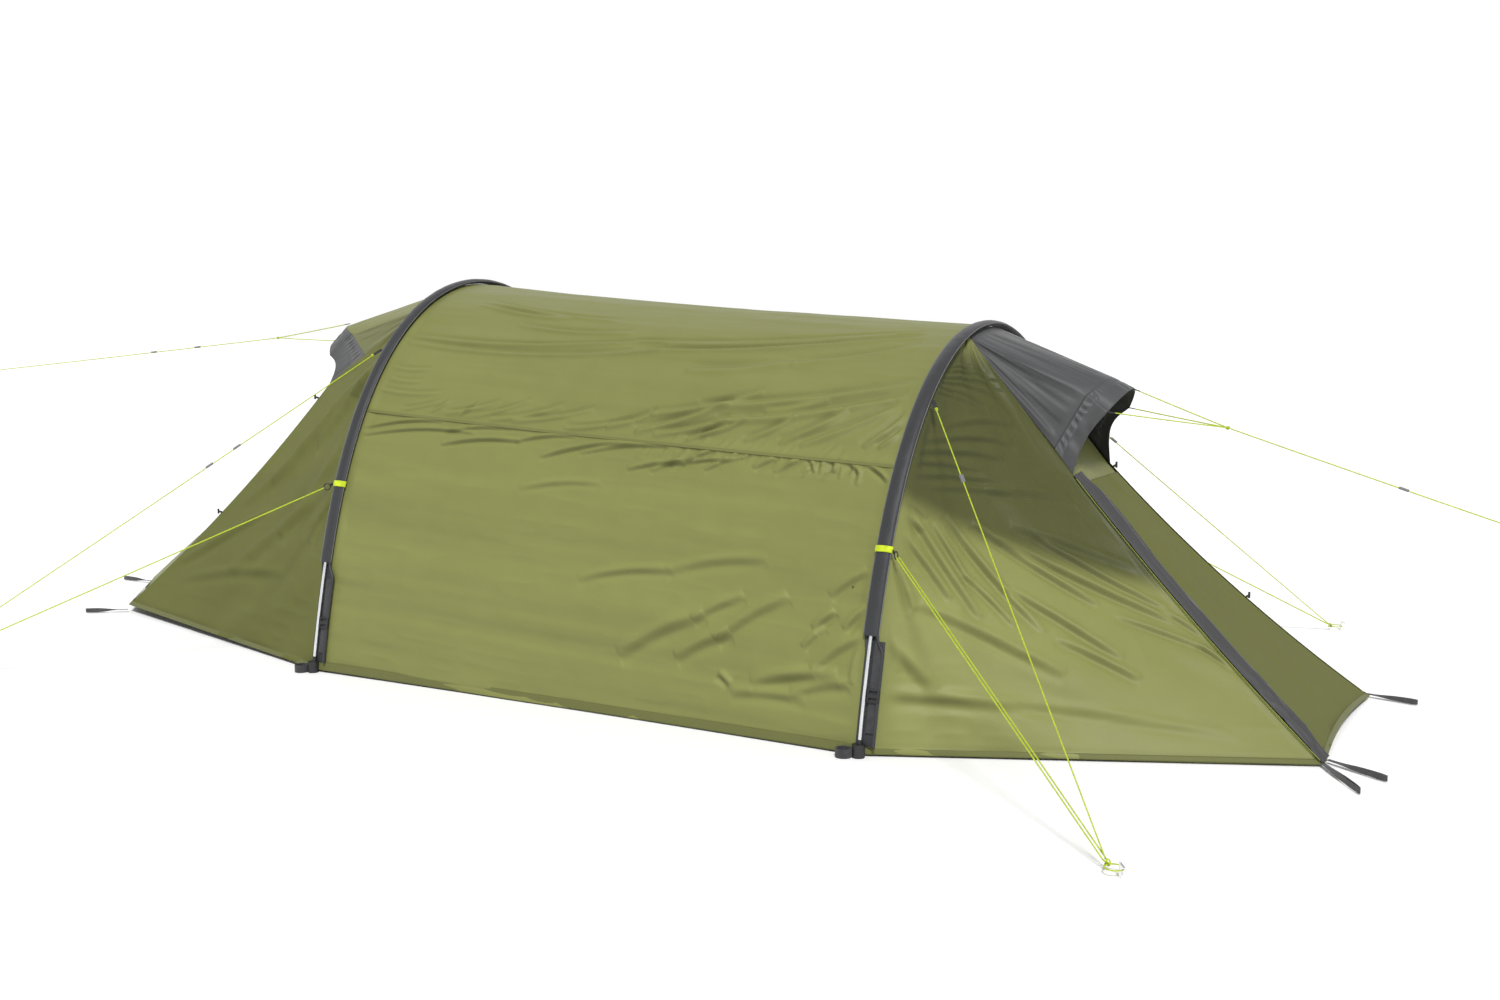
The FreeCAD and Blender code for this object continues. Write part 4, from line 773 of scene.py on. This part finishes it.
def band_height(w, v, seed):
    """The gathers that the elastic draws into a hood's rim."""
    at_the_sides = 0.3 + 0.7 * smooth(np.abs(w), HOOD_CORNER_W - 0.12, HOOD_CORNER_W)
    gathers = at_the_sides * np.sin(w * 120 + 2.5 * noise(w * 9, v * 2, seed))
    gathers = gathers * (0.6 + 0.4 * noise(w * 30, v * 3, seed))
    strength = 0.0026 * np.exp(-((v - 0.20) / 0.13) ** 2)
    soft_folds = 0.0016 * noise(w * 14, v * 2, seed + 5) * smooth(v, 0.3, 0.5)
    fade = smooth(1 - np.abs(w), 0.0, 0.08) * smooth(v, 0.0, 0.05)
    return (gathers * strength + soft_folds) * fade


def make_hoods():
    for end, hoop, hood_u, dx, seam, rim, material, slot, seed in (
        ("front", front_hoop, FRONT_HOOD_U, 0.001, FRONT_SEAM, FRONT_RIM, hood_grey, "grey_fly", 31),
        ("rear", rear_hoop, REAR_HOOD_U, -0.001, REAR_SEAM, REAR_RIM, olive, "olive_fly", 37),
    ):
        w = np.linspace(-1, 1, 261)
        hoop_u = np.clip(w / HOOD_CORNER_W, -1, 1) * hood_u
        grid = ruled(hoop.point(hoop_u, FLY_OFFSET, dx), hood_line(seam, w), 90)
        v_all, w_all = np.meshgrid(np.linspace(0, 1, 90), w)
        # Painted shade: each hood's side triangles are darker than its top, as for faces turned from the
        # light
        side = 0.30 * smooth(np.abs(w_all), HOOD_CORNER_W - 0.05, HOOD_CORNER_W + 0.03)
        cloth(end + "_hood_cloth", grid, displaced(grid, hood_height(w_all, v_all, seed)), material, "tent",
              slot, [end + "_hood"], painted_shade=side)
        w = np.linspace(-1, 1, 521)
        band = ruled(hood_line(seam, w), hood_line(rim, w, seam), 34)
        v_all, w_all = np.meshgrid(np.linspace(0, 1, 34), w)
        # Painted shade on the outer part of the band at the hood's sides, matching the side triangles
        dim = 0.25 * smooth(v_all, 0.36, 0.42) * smooth(np.abs(w_all), HOOD_CORNER_W - 0.1, HOOD_CORNER_W)
        cloth(end + "_hood_band_cloth", band, displaced(band, band_height(w_all, v_all, seed)), hood_grey,
              "tent", "grey_fly", [end + "_hood_band"],
              painted_shade=dim)
        rim_points = hood_line(rim, np.linspace(-1, 1, 221), seam)
        rim_cord = tube(end + "_hood_binding", [rim_points], 0.0013, hood_grey)
        place(rim_cord, "tent", "black_elastic")


def under_hood(edge, first, last, middle, rows=40, columns=80):
    """Cloth from one edge line to the other under a hood; its middle may stand out further."""
    share = np.linspace(first, last, rows)[:, None]
    across = np.linspace(-1, 1, columns)[None, :]
    far = edge.at(share[:, 0]) - vec(0, VENT_INSET, 0)
    shift = np.minimum(share / edge.hood_share, 1.0) * (1 - np.abs(across))
    flat = far[:, None, :] * np.ones((1, columns, 1))
    flat[..., 1] = -far[:, None, 1] * across
    return flat + vec(*middle) * shift[..., None]


def make_vents():
    share = front_edge.hood_share
    foot = share + (1 - share) * (DOOR_TOP_T + 0.012)
    grid = under_hood(front_edge, share * VENT_SPLIT, foot, (0, 0, 0)) - DOOR_OUT * 0.005
    height = 0.002 * noise(grid[..., 1] * 12, grid[..., 2] * 5, 41)
    cloth("front_vent_cloth", grid, displaced(grid, height), olive, "tent", "olive_fly",
          ["front_vent_panel"])
    grid = under_hood(front_edge, share * 0.10, share * (VENT_SPLIT - 0.02), (0, 0, 0))
    cloth("front_vent_mesh", grid, grid, insect_mesh, "tent", "mesh", ["vent_meshes"])
    share = rear_edge.hood_share
    middle = vec(*REAR_END_TOP) - vec(REAR_RIM[0][0], 0, REAR_RIM[0][2])
    grid = under_hood(rear_edge, share * 0.15, share * 0.97, middle)
    cloth("rear_vent_mesh", grid, grid, insect_mesh, "tent", "mesh", ["vent_meshes"])


def make_rear_end():
    t = np.linspace(0.01, 1, 160)
    middle = mix(vec(*REAR_END_TOP), vec(*REAR_TIP), t[:, None])
    edge = rear_edge.arc(t)
    far = ruled(edge, middle, 60)
    near = ruled(middle, edge * FLIP, 60)[:, 1:]
    grid = np.concatenate([far, near], axis=1)
    columns = grid.shape[1]
    across, down = np.meshgrid(np.linspace(-1, 1, columns), t)
    height = 0.004 * noise(across * 6, down * 2, 43)
    height -= 0.010 * np.sin(pi * np.abs(across)) * np.sin(pi * down)
    height *= smooth(1 - np.abs(across), 0.0, 0.06)
    cloth("rear_end_panel_cloth", grid, displaced(grid, height), olive, "tent", "olive_fly",
          ["rear_end_panel"])
    hem = grid[-4:].copy()
    hem[:, :, 2] = np.maximum(hem[:, :, 2], 0.004)
    tape("rear_end_hem_tape", hem, HEM_LIFT, hem_olive, "olive_fly")


# Door

def door_point(t, y):
    edge = front_edge.arc(t)
    return np.stack([edge[..., 0], y, edge[..., 2]], axis=-1)


def near_edge_point(t, across, height):
    """A point on the door's surface, from its near edge across, lifted off it."""
    edge_y = front_edge.arc(t)[..., 1]
    return door_point(t, -edge_y + across) + DOOR_OUT * height[..., None]


def make_door():
    across, down = np.meshgrid(np.linspace(0, 1, 150), np.linspace(0, 1, 200))
    rise = DOOR_HEM_RISE * (1 - (2 * across - 1) ** 2)
    t = DOOR_TOP_T + (1 - rise - DOOR_TOP_T) * down
    edge_y = front_edge.arc(t)[..., 1]
    grid = door_point(t, mix(-edge_y + DOOR_NEAR_INSET, edge_y - DOOR_FAR_INSET, across))
    height = 0.0025 * noise(across * 5 + down * 2, down * 3, 51) + 0.0015 * noise(across * 14, down * 4, 52)
    height += -0.006 * np.sin(pi * across) * np.sin(pi * down)
    height += stitching(1 - down, 0.025, 0.025, 0.0012)
    height *= smooth(across, 0.0, 0.05) * smooth(1 - across, 0.0, 0.05)
    # Painted shade: the door's colour is darkened evenly, as for a face turned from the light
    cloth("door_panel_cloth", grid, grid + DOOR_OUT * height[..., None], shaded_olive, "door", "olive_fly",
          ["door_panel"], painted_shade=0.34)
    t = 1 - DOOR_HEM_RISE * (1 - (2 * across[:5] - 1) ** 2) - np.linspace(0, 0.016, 5)[:, None]
    edge_y = front_edge.arc(t)[..., 1]
    hem = door_point(t, mix(-edge_y + DOOR_NEAR_INSET, edge_y - DOOR_FAR_INSET, across[:5]))
    obj = thicken(grid_mesh("door_hem_tape", hem + DOOR_OUT * 0.0014, hem_olive))
    place(obj, "door", "olive_fly")


def make_storm_flap():
    """The flap that covers the zip: a raised roll with folds along it and a pointed foot."""
    t, share = np.meshgrid(np.linspace(FLAP_TOP_T, 0.995, 320), np.linspace(0, 1, 44), indexing="ij")
    foot = smooth(t, 0.90, 0.985)
    low, high = FLAP_ACROSS[0], FLAP_ACROSS[-1]
    across = mix(low, high, share)
    lift = np.interp(across, FLAP_ACROSS, FLAP_HEIGHT)
    lift = lift * (1 - 0.45 * foot) * (0.45 + 0.55 * smooth(t, FLAP_TOP_T, 0.10))
    grid = near_edge_point(t, across, lift)
    along = t * 0.9
    height = 0.0036 * np.sin(pi * share) * noise(along * 6, share * 6, 61)
    height += 0.0018 * ridges(along * 24, share * 7, 62) * smooth(noise(along * 4, share * 0, 63), -0.2, 0.6)
    height -= 0.0022 * np.exp(-((share - 0.62 - 0.05 * noise(along * 4, along * 0, 64)) / 0.045) ** 2)
    cloth("storm_flap_cloth", grid, grid + DOOR_OUT * height[..., None], flap_grey, "door", "grey_fly",
          ["storm_flap"])
    t = np.linspace(0.02, 0.985, 60)
    line = near_edge_point(t, np.full_like(t, -0.0095), np.full_like(t, 0.0035))
    place(tube("zip_piping", [line], 0.0009, neon_thread), "tent", "neon_cord")


# Sleeves, bands and loops

SLEEVE_HALF_WIDTH, SLEEVE_HALF_THICKNESS, SLEEVE_LIP = 0.020, 0.008, 0.0015
TAIL_END_U = 0.982


def sleeve_body(hoop, seed):
    """A flattened tube round the pole with a flat sewn edge along both its sides."""
    u = np.linspace(-SLEEVE_END_U, SLEEVE_END_U, 520)
    centre, out = hoop.point(u)[:, None, :], hoop.outward(u)[:, None, :]
    u_all, angle = np.meshgrid(u, np.linspace(0, 2 * pi, 49), indexing="ij")
    edge = np.exp(-(((np.abs(np.cos(angle)) - 1) / 0.02) ** 2))
    pull = 1 + 0.05 * noise(u_all * 60, np.cos(angle) * 1.2, seed)
    pull += 0.03 * noise(u_all * 160, angle, seed)
    wide = (SLEEVE_HALF_WIDTH - SLEEVE_LIP) * np.cos(angle) + SLEEVE_LIP * edge * np.sign(np.cos(angle))
    thick = SLEEVE_HALF_THICKNESS * 0.96 * np.sin(angle) * pull * (1 - 0.75 * edge)
    return centre + vec(1, 0, 0) * wide[..., None] + out * thick[..., None]


def sleeve_tail(hoop, side):
    """The open end of a sleeve, which lies beside the bare pole down to its foot."""
    u = np.linspace(SLEEVE_END_U - 0.004, TAIL_END_U, 60) * side
    turn = np.linspace(-0.86 * pi, 0.20 * pi, 30)
    middle, away = hoop.point(u)[:, None, :], hoop.outward(u)[:, None, :]
    wider = smooth(np.abs(u), SLEEVE_END_U, SLEEVE_END_U + 0.03)[:, None, None]
    reach = np.cos(turn)[None, :, None] * (0.0188 + 0.0072 * wider) + 0.012 * wider
    return middle + vec(1, 0, 0) * reach + away * 0.0078 * np.sin(turn)[None, :, None]


def make_sleeves():
    for end, hoop, seed in (("front", front_hoop, 71), ("rear", rear_hoop, 73)):
        node = end + "_pole_sleeve"
        obj = grid_mesh(node + "_cloth", sleeve_body(hoop, seed), sleeve_cloth)
        place(obj, "tent", "sleeve_fabric", node)
        for side, name in ((-1, "near"), (1, "far")):
            obj = thicken(grid_mesh(f"{end}_sleeve_tail_{name}", sleeve_tail(hoop, side), sleeve_cloth))
            place(obj, "tent", "sleeve_fabric", node)
        u = np.linspace(-SLEEVE_END_U, SLEEVE_END_U, 520)
        stitches = [hoop.point(u, 0.0004, sign * (SLEEVE_HALF_WIDTH - 0.0008)) for sign in (-1, 1)]
        place(tube(end + "_sleeve_edge", stitches, 0.0010, seam_grey), "tent", "sleeve_fabric")


def tube(name, lines, radius, material, sides=8, closed=False):
    """Round cord along each line of close points, all in one mesh."""
    vertices, faces = [], []
    turn = np.linspace(0, 2 * pi, sides, endpoint=False)
    for line in lines:
        count = len(line)
        tangent = np.roll(line, -1, axis=0) - np.roll(line, 1, axis=0)
        if not closed:
            tangent[0], tangent[-1] = line[1] - line[0], line[-1] - line[-2]
        tangent = unit(tangent)
        helper = np.where(np.abs(tangent[:, 2:]) > 0.9, vec(1, 0, 0), vec(0, 0, 1))
        first = unit(np.cross(tangent, helper))
        second = np.cross(tangent, first)
        ring = first[:, None] * np.cos(turn)[None, :, None]
        ring = ring + second[:, None] * np.sin(turn)[None, :, None]
        base = len(vertices)
        vertices += list((line[:, None] + ring * radius).reshape(-1, 3))
        for i in range(count if closed else count - 1):
            after = (i + 1) % count
            for j in range(sides):
                k = (j + 1) % sides
                here, there = base + i * sides, base + after * sides
                faces.append((here + j, here + k, there + k, there + j))
        if not closed:
            faces.append(tuple(base + j for j in reversed(range(sides))))
            faces.append(tuple(base + (count - 1) * sides + j for j in range(sides)))
    mesh = bpy.data.meshes.new(name)
    mesh.from_pydata([tuple(v) for v in vertices], [], faces)
    mesh.polygons.foreach_set("use_smooth", np.ones(len(faces), dtype=bool))
    mesh.materials.append(material)
    return new_object(name, mesh)


def webbing_loop(name, root, end, twist, body, node):
    """A loop of webbing on edge, pinched and twisted at its root and open at its end."""
    root, end = vec(*root, 0), vec(*end, 0)
    way = unit(end - root)
    side = np.cross(vec(0, 0, 1), way)
    length = np.linalg.norm(end - root)
    phase = np.linspace(0, 2 * pi, 120, endpoint=False)
    along = (1 - np.cos(phase)) / 2
    gap = (LOOP_GAP / 2 + 0.001) * np.sin(phase) * (0.25 + 0.75 * along)
    lean = np.radians(twist) * (1 - smooth(along, 0.15, 0.75))
    up = np.cos(lean)[:, None] * vec(0, 0, 1) + np.sin(lean)[:, None] * side
    half = (LOOP_HEIGHT / 2 - 0.0004) * (0.55 + 0.30 * smooth(along, 0.3, 0.9))
    middle = root + way * (along * length)[:, None] + side * gap[:, None]
    middle = middle + vec(0, 0, LOOP_HEIGHT / 2 + 0.0004)
    levels = np.linspace(-1, 1, 7)
    grid = middle[None] + up[None] * (levels[:, None] * half[None, :])[..., None]
    grid = np.concatenate([grid, grid[:, :1]], axis=1)
    obj = thicken(grid_mesh(name, grid, webbing), 0.0012)
    return place(obj, body, "grey_webbing", node)


def make_loops():
    for name, (root, end, twist) in CORNER_LOOPS.items():
        webbing_loop(name + "_corner_webbing", root, end, twist, "tent", "corner_peg_loops")
    webbing_loop("door_corner_webbing", *DOOR_LOOP, "door", "door_peg_loop")


CLIP_U, CLIP_HALF_U = 0.653, 0.0055
RING_R, RING_WIRE_R = 0.009, 0.0016


def circle(centre, axis, radius, count=40):
    first = unit(np.cross(axis, vec(0.3, 0.2, 1.0)))
    second = unit(np.cross(axis, first))
    turn = np.linspace(0, 2 * pi, count, endpoint=False)[:, None]
    return centre + (first * np.cos(turn) + second * np.sin(turn)) * radius


TOGGLES = (  # edge line, places along it, outward lean along X, and the side that they are on
    (front_edge, (0.015, 0.55), 0.4, vec(1, 1, 1)),
    (rear_edge, (0.06, 0.55), -0.4, FLIP),
)
TOGGLE_REACH = 0.013


def make_toggle_ties():
    """The elastic that each toggle hangs on, from the edge line to the toggle's middle."""
    ties = []
    for edge, places, lean, flip in TOGGLES:
        outward = unit(vec(lean, 0.8, 0.3))
        for share in places:
            root = edge.arc(share)
            line = [root + outward * TOGGLE_REACH * part for part in (0.1, 0.5, 1.0)]
            ties.append(np.array(line) * flip)
    place(tube("toggle_ties", ties, 0.0032, black_plastic), "tent", "black_plastic")


def make_clips():
    """At each lower guy: a bright band round the sleeve, a black tab and a ring."""
    rings = []
    for end, hoop in (("front", front_hoop), ("rear", rear_hoop)):
        centre, turn, across, _ = (vec(*p) for p in LOWER_RINGS[end])
        way = unit(turn - centre)
        for side, flip in SIDES:
            angle = np.linspace(-0.22 * pi, 1.22 * pi, 50)[None, :, None]
            u = np.linspace(CLIP_U - CLIP_HALF_U, CLIP_U + CLIP_HALF_U, 6)
            middle, out = hoop.point(u)[:, None, :], hoop.outward(u)[:, None, :]
            grid = middle + vec(0.0214, 0, 0) * np.cos(angle) + out * 0.0094 * np.sin(angle)
            obj = thicken(grid_mesh(f"{end}_{side}_guy_band", grid * flip, neon_webbing), 0.0014)
            place(obj, "tent", "neon_cord", "lower_guy_clips")
            start, finish = centre - way * 0.019, centre - way * 0.010
            rise = unit(np.cross(way, unit(across))) * 0.004
            levels = rise * np.linspace(-1, 1, 5)[:, None]
            strip = np.stack([mix(start, finish, k)[None] + levels for k in (0, 0.5, 1)])
            obj = thicken(grid_mesh(f"{end}_{side}_guy_band_tab", strip * flip, dark_webbing), 0.0018)
            place(obj, "tent", "black_elastic", "lower_guy_clips")
            rings.append(circle(centre, across, RING_R) * flip)
    obj = tube("guy_rings", rings, RING_WIRE_R, black_plastic, closed=True)
    place(obj, "tent", "aluminium", "lower_guy_clips")


def knot_line(centre, radius, way):
    """A tied knot as a closed trefoil of cord about its centre."""
    turn = np.linspace(0, 2 * pi, 90, endpoint=False)
    size = radius - CORD_R
    reach = size * (0.62 + 0.38 * np.cos(3 * turn))
    x, y, z = reach * np.cos(2 * turn), reach * np.sin(2 * turn), size * 0.75 * np.sin(3 * turn)
    axis = unit(vec(*way))
    first = unit(np.cross(axis, vec(0.1, 0.2, 1.0)))
    second = np.cross(axis, first)
    return centre + first * x[:, None] + second * y[:, None] + axis * z[:, None]


PEGS = {"front": (1.905, 1.250), "rear": (-1.473, 1.421)}
SMALL_KNOT_R = 0.004
EYE_R = 0.018


def make_knots():
    knots, eyes = [], []
    for end, (start, finish) in UPPER_GUYS.items():
        start, finish = vec(*start), vec(*finish)
        way = unit(finish - start)
        peg = vec(*PEGS[end], 0)
        knot = vec(*LOWER_RINGS[end][3])
        eye = mix(knot, peg + vec(0, 0, 0.012), 0.5) - unit(knot - peg) * 0.002
        for _, flip in SIDES:
            knots.append(knot_line(start - way * SMALL_KNOT_R, SMALL_KNOT_R + 0.001, way) * flip)
            knots.append(knot_line(knot, KNOT_R, way) * flip)
            eyes.append(circle(eye, vec(0, 0, 1), EYE_R, 60) * flip)
    for start, finish in HOOD_GUYS.values():
        start, finish = vec(*start), vec(*finish)
        way = unit(finish - start)
        knots.append(knot_line(start, SMALL_KNOT_R + 0.0015, way))
        knots.append(knot_line(finish + way * SMALL_KNOT_R, SMALL_KNOT_R + 0.001, way))
        eyes.append(circle(finish + way * 0.019, vec(0, 1, 0), 0.012))
    place(tube("guy_knots_tied", knots + eyes, CORD_R * 0.95, neon_cord, closed=True), "tent", "neon_cord",
          "guy_knots")


# Inner tent

inner_foot_hoop = Hoop(*INNER_FOOT_HOOP)


def inner_row(hoop, offset, dx, count=120):
    """A section of the inner tent from the tray's far wall over the top to its near wall."""
    u = np.linspace(0.5, 1, 400)
    z = hoop.point(u, offset)[:, 2]
    u_end = float(np.interp(-(TRAY_HEIGHT + 0.002), -z, u))
    return hoop.point(np.linspace(u_end, -u_end, count), offset, dx)


def lean_back(y, z, x=0.0):
    """A point drawn upright, laid into the leaning plane of the inner front wall."""
    angle = radians(INNER_WALL_LEAN)
    rise = z - TRAY_HEIGHT
    return np.stack([INNER_WALL_X - rise * sin(angle) + x, y, TRAY_HEIGHT + rise * cos(angle)], axis=-1)


def make_inner_canopy():
    front = inner_row(front_hoop, INNER_OFFSET, INNER_WALL_X - 0.004 - FRONT_HOOP[0])
    rear, foot = inner_row(rear_hoop, INNER_OFFSET, 0.0), inner_row(inner_foot_hoop, 0.0, 0.0)
    grid = np.concatenate([ruled(front, rear, 90), ruled(rear, foot, 40)[:, 1:]], axis=1)
    around, along = (np.linspace(0, 1, count) for count in grid.shape[:2])
    around, along = np.meshgrid(around, along, indexing="ij")
    height = 0.003 * noise(along * 6, around * 18, 81) - 0.008 * np.sin(pi * np.clip(along / 0.75, 0, 1))
    height *= smooth(around, 0, 0.03) * smooth(1 - around, 0, 0.03) * smooth(along, 0, 0.03)
    cloth("inner_canopy_cloth", grid, displaced(grid, height), inner_cloth, "tent", "inner_fabric",
          ["inner_canopy"])
    row = inner_row(inner_foot_hoop, -0.004, -0.0068)
    base = row * vec(1, 1, 0) + vec(0, 0, TRAY_HEIGHT + 0.002)
    grid = ruled(row, base, 30)
    cloth("inner_foot_wall_cloth", grid, grid, inner_cloth, "tent", "inner_fabric",
          ["inner_foot_wall"])


def upright_cloth(name, radius, angle, body, node, seed):
    """Cloth in the leaning front wall, laid out by radius and angle about the door's hinge line."""
    y, z = radius * np.cos(angle), INNER_DOOR_Z + radius * np.sin(angle)
    rumpled = lean_back(y, z, FABRIC_HALF + 0.002 * noise(y * 12, z * 12, seed))
    cloth(name, lean_back(y, z, FABRIC_HALF), rumpled, inner_cloth, body, "inner_fabric",
          [node])


def make_inner_front():
    """The half-round door, and the wall from its opening out to the canopy."""
    outline = inner_row(front_hoop, -0.084, 0.0, 400)
    bearing = np.arctan2(outline[:, 2] - INNER_DOOR_Z, outline[:, 1])
    reach = np.hypot(outline[:, 1], outline[:, 2] - INNER_DOOR_Z)
    angle = np.linspace(0.01, pi - 0.01, 180)
    far_edge = np.interp(angle, bearing, reach)
    share = np.linspace(0, 1, 40)[:, None]
    upright_cloth("inner_front_wall_cloth", mix(INNER_OPENING_R, far_edge[None, :], share), angle,
                  "tent", "inner_front_wall", 83)
    upright_cloth("inner_door_cloth", mix(0.004, INNER_DOOR_R, share), angle,
                  "inner_door_leaf", "inner_door", 85)


def make_groundsheet():
    """The floor, with walls that stand up round it like a tray's."""
    corners = [vec(x, half, 0) for x, half in TRAY_HALF]
    corners += [corner * FLIP for corner in reversed(corners)]
    pairs = zip(corners, corners[1:] + corners[:1])
    edge = np.concatenate([ruled(a[None], b[None], 30)[0, :-1] for a, b in pairs])
    edge = np.concatenate([edge, edge[:1]])
    centre = vec(0.1, 0, 0)
    rows = [mix(centre, edge, share * 0.998) + vec(0, 0, 0.0012) for share in np.linspace(0.02, 1, 30)]
    rows += [mix(centre, edge, 0.999) + vec(0, 0, height) for height in np.linspace(0.004, TRAY_HEIGHT, 8)]
    grid = np.stack(rows)
    cloth("inner_groundsheet_cloth", grid, grid, floor_cloth, "tent", "groundsheet_fabric",
          ["inner_groundsheet"])


# Cords

def spline(name, points, radius, material):
    curve = bpy.data.curves.new(name, "CURVE")
    curve.dimensions = "3D"
    curve.bevel_depth = radius
    curve.bevel_resolution = 3
    curve.resolution_u = 16
    route = curve.splines.new("NURBS")
    route.points.add(len(points) - 1)
    for point, place_at in zip(route.points, points):
        point.co = (*place_at, 1.0)
    route.order_u = 3
    route.use_endpoint_u = True
    curve.materials.append(material)
    return new_object(name, curve)


def sagging(start, end, drop):
    """A taut line's route: its two ends and one point between them, a little below the chord."""
    middle = (vec(*start) + vec(*end)) / 2 - vec(0, 0, drop)
    return [tuple(start), tuple(middle), tuple(end)]


def flipped(points):
    return [(x, -y, z) for x, y, z in points]


def taut_cord(name, points, node):
    cord = spline(name, points, CORD_R, neon_cord)
    place(cord, "tent", "neon_cord", node)
    return cord


LOWER_RINGS = {  # middle of the ring, middle of the cord's turn in it, the way across, and the knot
    "front": (
        (1.207956, 0.672662, 0.450268), (1.214200, 0.677834, 0.446360),
        (0.637878, -0.770137, 0.0), (1.874901, 1.230250, 0.015),
    ),
    "rear": (
        (-0.562252, 0.655731, 0.510183), (-0.568611, 0.661075, 0.506718),
        (0.643311, 0.765605, 0.0), (-1.447091, 1.396006, 0.015),
    ),
}
KNOT_R = 0.008
RETURN_R = 0.004
FRONT_KNOT, REAR_KNOT = (1.798, 0.0, 0.721), (-1.408, 0.0, 0.914)
BRIDLES = (
    ("front_hood_bridle_middle", (1.559, 0.0, 0.812), FRONT_KNOT),
    ("front_hood_bridle_far", (1.523, 0.100, 0.757), FRONT_KNOT),
    ("front_hood_bridle_near", (1.523, -0.100, 0.757), FRONT_KNOT),
    ("rear_hood_bridle_upper", (-1.076, 0.0, 0.964), REAR_KNOT),
    ("rear_hood_bridle_lower", (-1.128, 0.0, 0.906), REAR_KNOT),
)
HOOD_GUYS = {
    "front_hood_guy": (FRONT_KNOT, (2.480, 0.0, 0.505)),
    "rear_hood_guy": (REAR_KNOT, (-2.975, 0.0, 0.771)),
}


def make_cords():
    for end, (start, finish) in UPPER_GUYS.items():
        for side in ("far", "near"):
            points = sagging(start, finish, 0.003)
            points = points if side == "far" else flipped(points)
            taut_cord(f"{end}_{side}_upper_guy", points, f"{end}_{side}_guys")
    for end, (_, turn, across, knot) in LOWER_RINGS.items():
        turn, across, knot = vec(*turn), vec(*across), vec(*knot)
        way = unit(turn - knot)
        side_step = unit(across - way * across.dot(way)) * RETURN_R
        bottom, near_ring = knot + way * KNOT_R, turn - way * 0.015
        points = [bottom + side_step, near_ring + side_step, turn + side_step]
        points += [turn - side_step, near_ring - side_step, bottom - side_step]
        points = [tuple(p) for p in points]
        for side in ("far", "near"):
            route = points if side == "far" else flipped(points)
            taut_cord(f"{end}_{side}_lower_guy", route, f"{end}_{side}_guys")
    for name, root, knot in BRIDLES:
        root, knot = vec(*root), vec(*knot)
        way = unit(knot - root)
        points = sagging(root + way * 0.020, knot - way * SMALL_KNOT_R, 0.001)
        taut_cord(name + "_leg", points, "hood_bridles")
    for node, (start, finish) in HOOD_GUYS.items():
        start, finish = vec(*start), vec(*finish)
        way = unit(finish - start)
        taut_cord(node + "_line", sagging(start + way * SMALL_KNOT_R, finish, 0.002), node)


# Camera, floor and light

def make_camera():
    camera = bpy.data.cameras.new("camera")
    camera.lens = 37.5
    camera.sensor_width = 36.0
    obj = new_object("camera", camera)
    obj.location = (2.638, -3.931, 1.009)
    obj.rotation_euler = (radians(83.07), 0.0, radians(29.1))
    bpy.context.scene.camera = obj


FLOOR_Z = -0.001


def make_floor():
    size = 40.0
    mesh = bpy.data.meshes.new("floor")
    corners = [(x * size, y * size, FLOOR_Z) for x, y in ((-1, -1), (1, -1), (1, 1), (-1, 1))]
    mesh.from_pydata(corners, [], [(0, 1, 2, 3)])
    n = Nodes("pale floor")
    n.set(Base_Color=(0.96, 0.96, 0.96, 1.0), Roughness=0.9, Specular_IOR_Level=0.1)
    mesh.materials.append(n.material)
    new_object("floor", mesh)


SUN_FROM = (0.34, -0.58, 0.74)
BACKDROP_WAY = (-0.486, 0.874, 0.0)
BACKDROP_FADE, HORIZON_FADE = (0.25, 0.72), (0.42, 0.10)
SKY_DARK, SKY_BRIGHT = 0.36, 1.0


def make_light():
    """A white studio backdrop behind the tent, a dim room round it and one soft key light."""
    world = bpy.data.worlds.new("studio")
    world.use_nodes = True
    tree = world.node_tree
    coords = tree.nodes.new("ShaderNodeTexCoord")
    towards = tree.nodes.new("ShaderNodeVectorMath")
    towards.operation = "DOT_PRODUCT"
    towards.inputs[1].default_value = BACKDROP_WAY
    tree.links.new(coords.outputs["Generated"], towards.inputs[0])
    split = tree.nodes.new("ShaderNodeSeparateXYZ")
    tree.links.new(coords.outputs["Generated"], split.inputs["Vector"])
    brighter = tree.nodes.new("ShaderNodeMath")
    brighter.operation = "MAXIMUM"
    sources = ((towards.outputs["Value"], BACKDROP_FADE), (split.outputs["Z"], HORIZON_FADE))
    for k, (source, (dark_at, bright_at)) in enumerate(sources):
        fade = tree.nodes.new("ShaderNodeMapRange")
        fade.interpolation_type = "SMOOTHSTEP"
        ends = {"From Min": dark_at, "From Max": bright_at, "To Min": SKY_DARK, "To Max": SKY_BRIGHT}
        for name, value in ends.items():
            fade.inputs[name].default_value = value
        tree.links.new(source, fade.inputs["Value"])
        tree.links.new(fade.outputs["Result"], brighter.inputs[k])
    tree.links.new(brighter.outputs["Value"], tree.nodes["Background"].inputs["Color"])
    tree.nodes["Background"].inputs["Strength"].default_value = 1.0
    bpy.context.scene.world = world
    sun = bpy.data.lights.new("key", "SUN")
    sun.energy = 3.0
    sun.angle = radians(12)
    obj = new_object("key", sun)
    obj.rotation_euler = Vector(SUN_FROM).to_track_quat("Z", "Y").to_euler()


make_camera()
make_floor()
make_light()
make_cords()
make_body_panels()
make_end_side_panels()
make_hoods()
make_vents()
make_rear_end()
make_door()
make_storm_flap()
make_sleeves()
make_loops()
make_toggle_ties()
make_clips()
make_knots()
make_inner_canopy()
make_inner_front()
make_groundsheet()
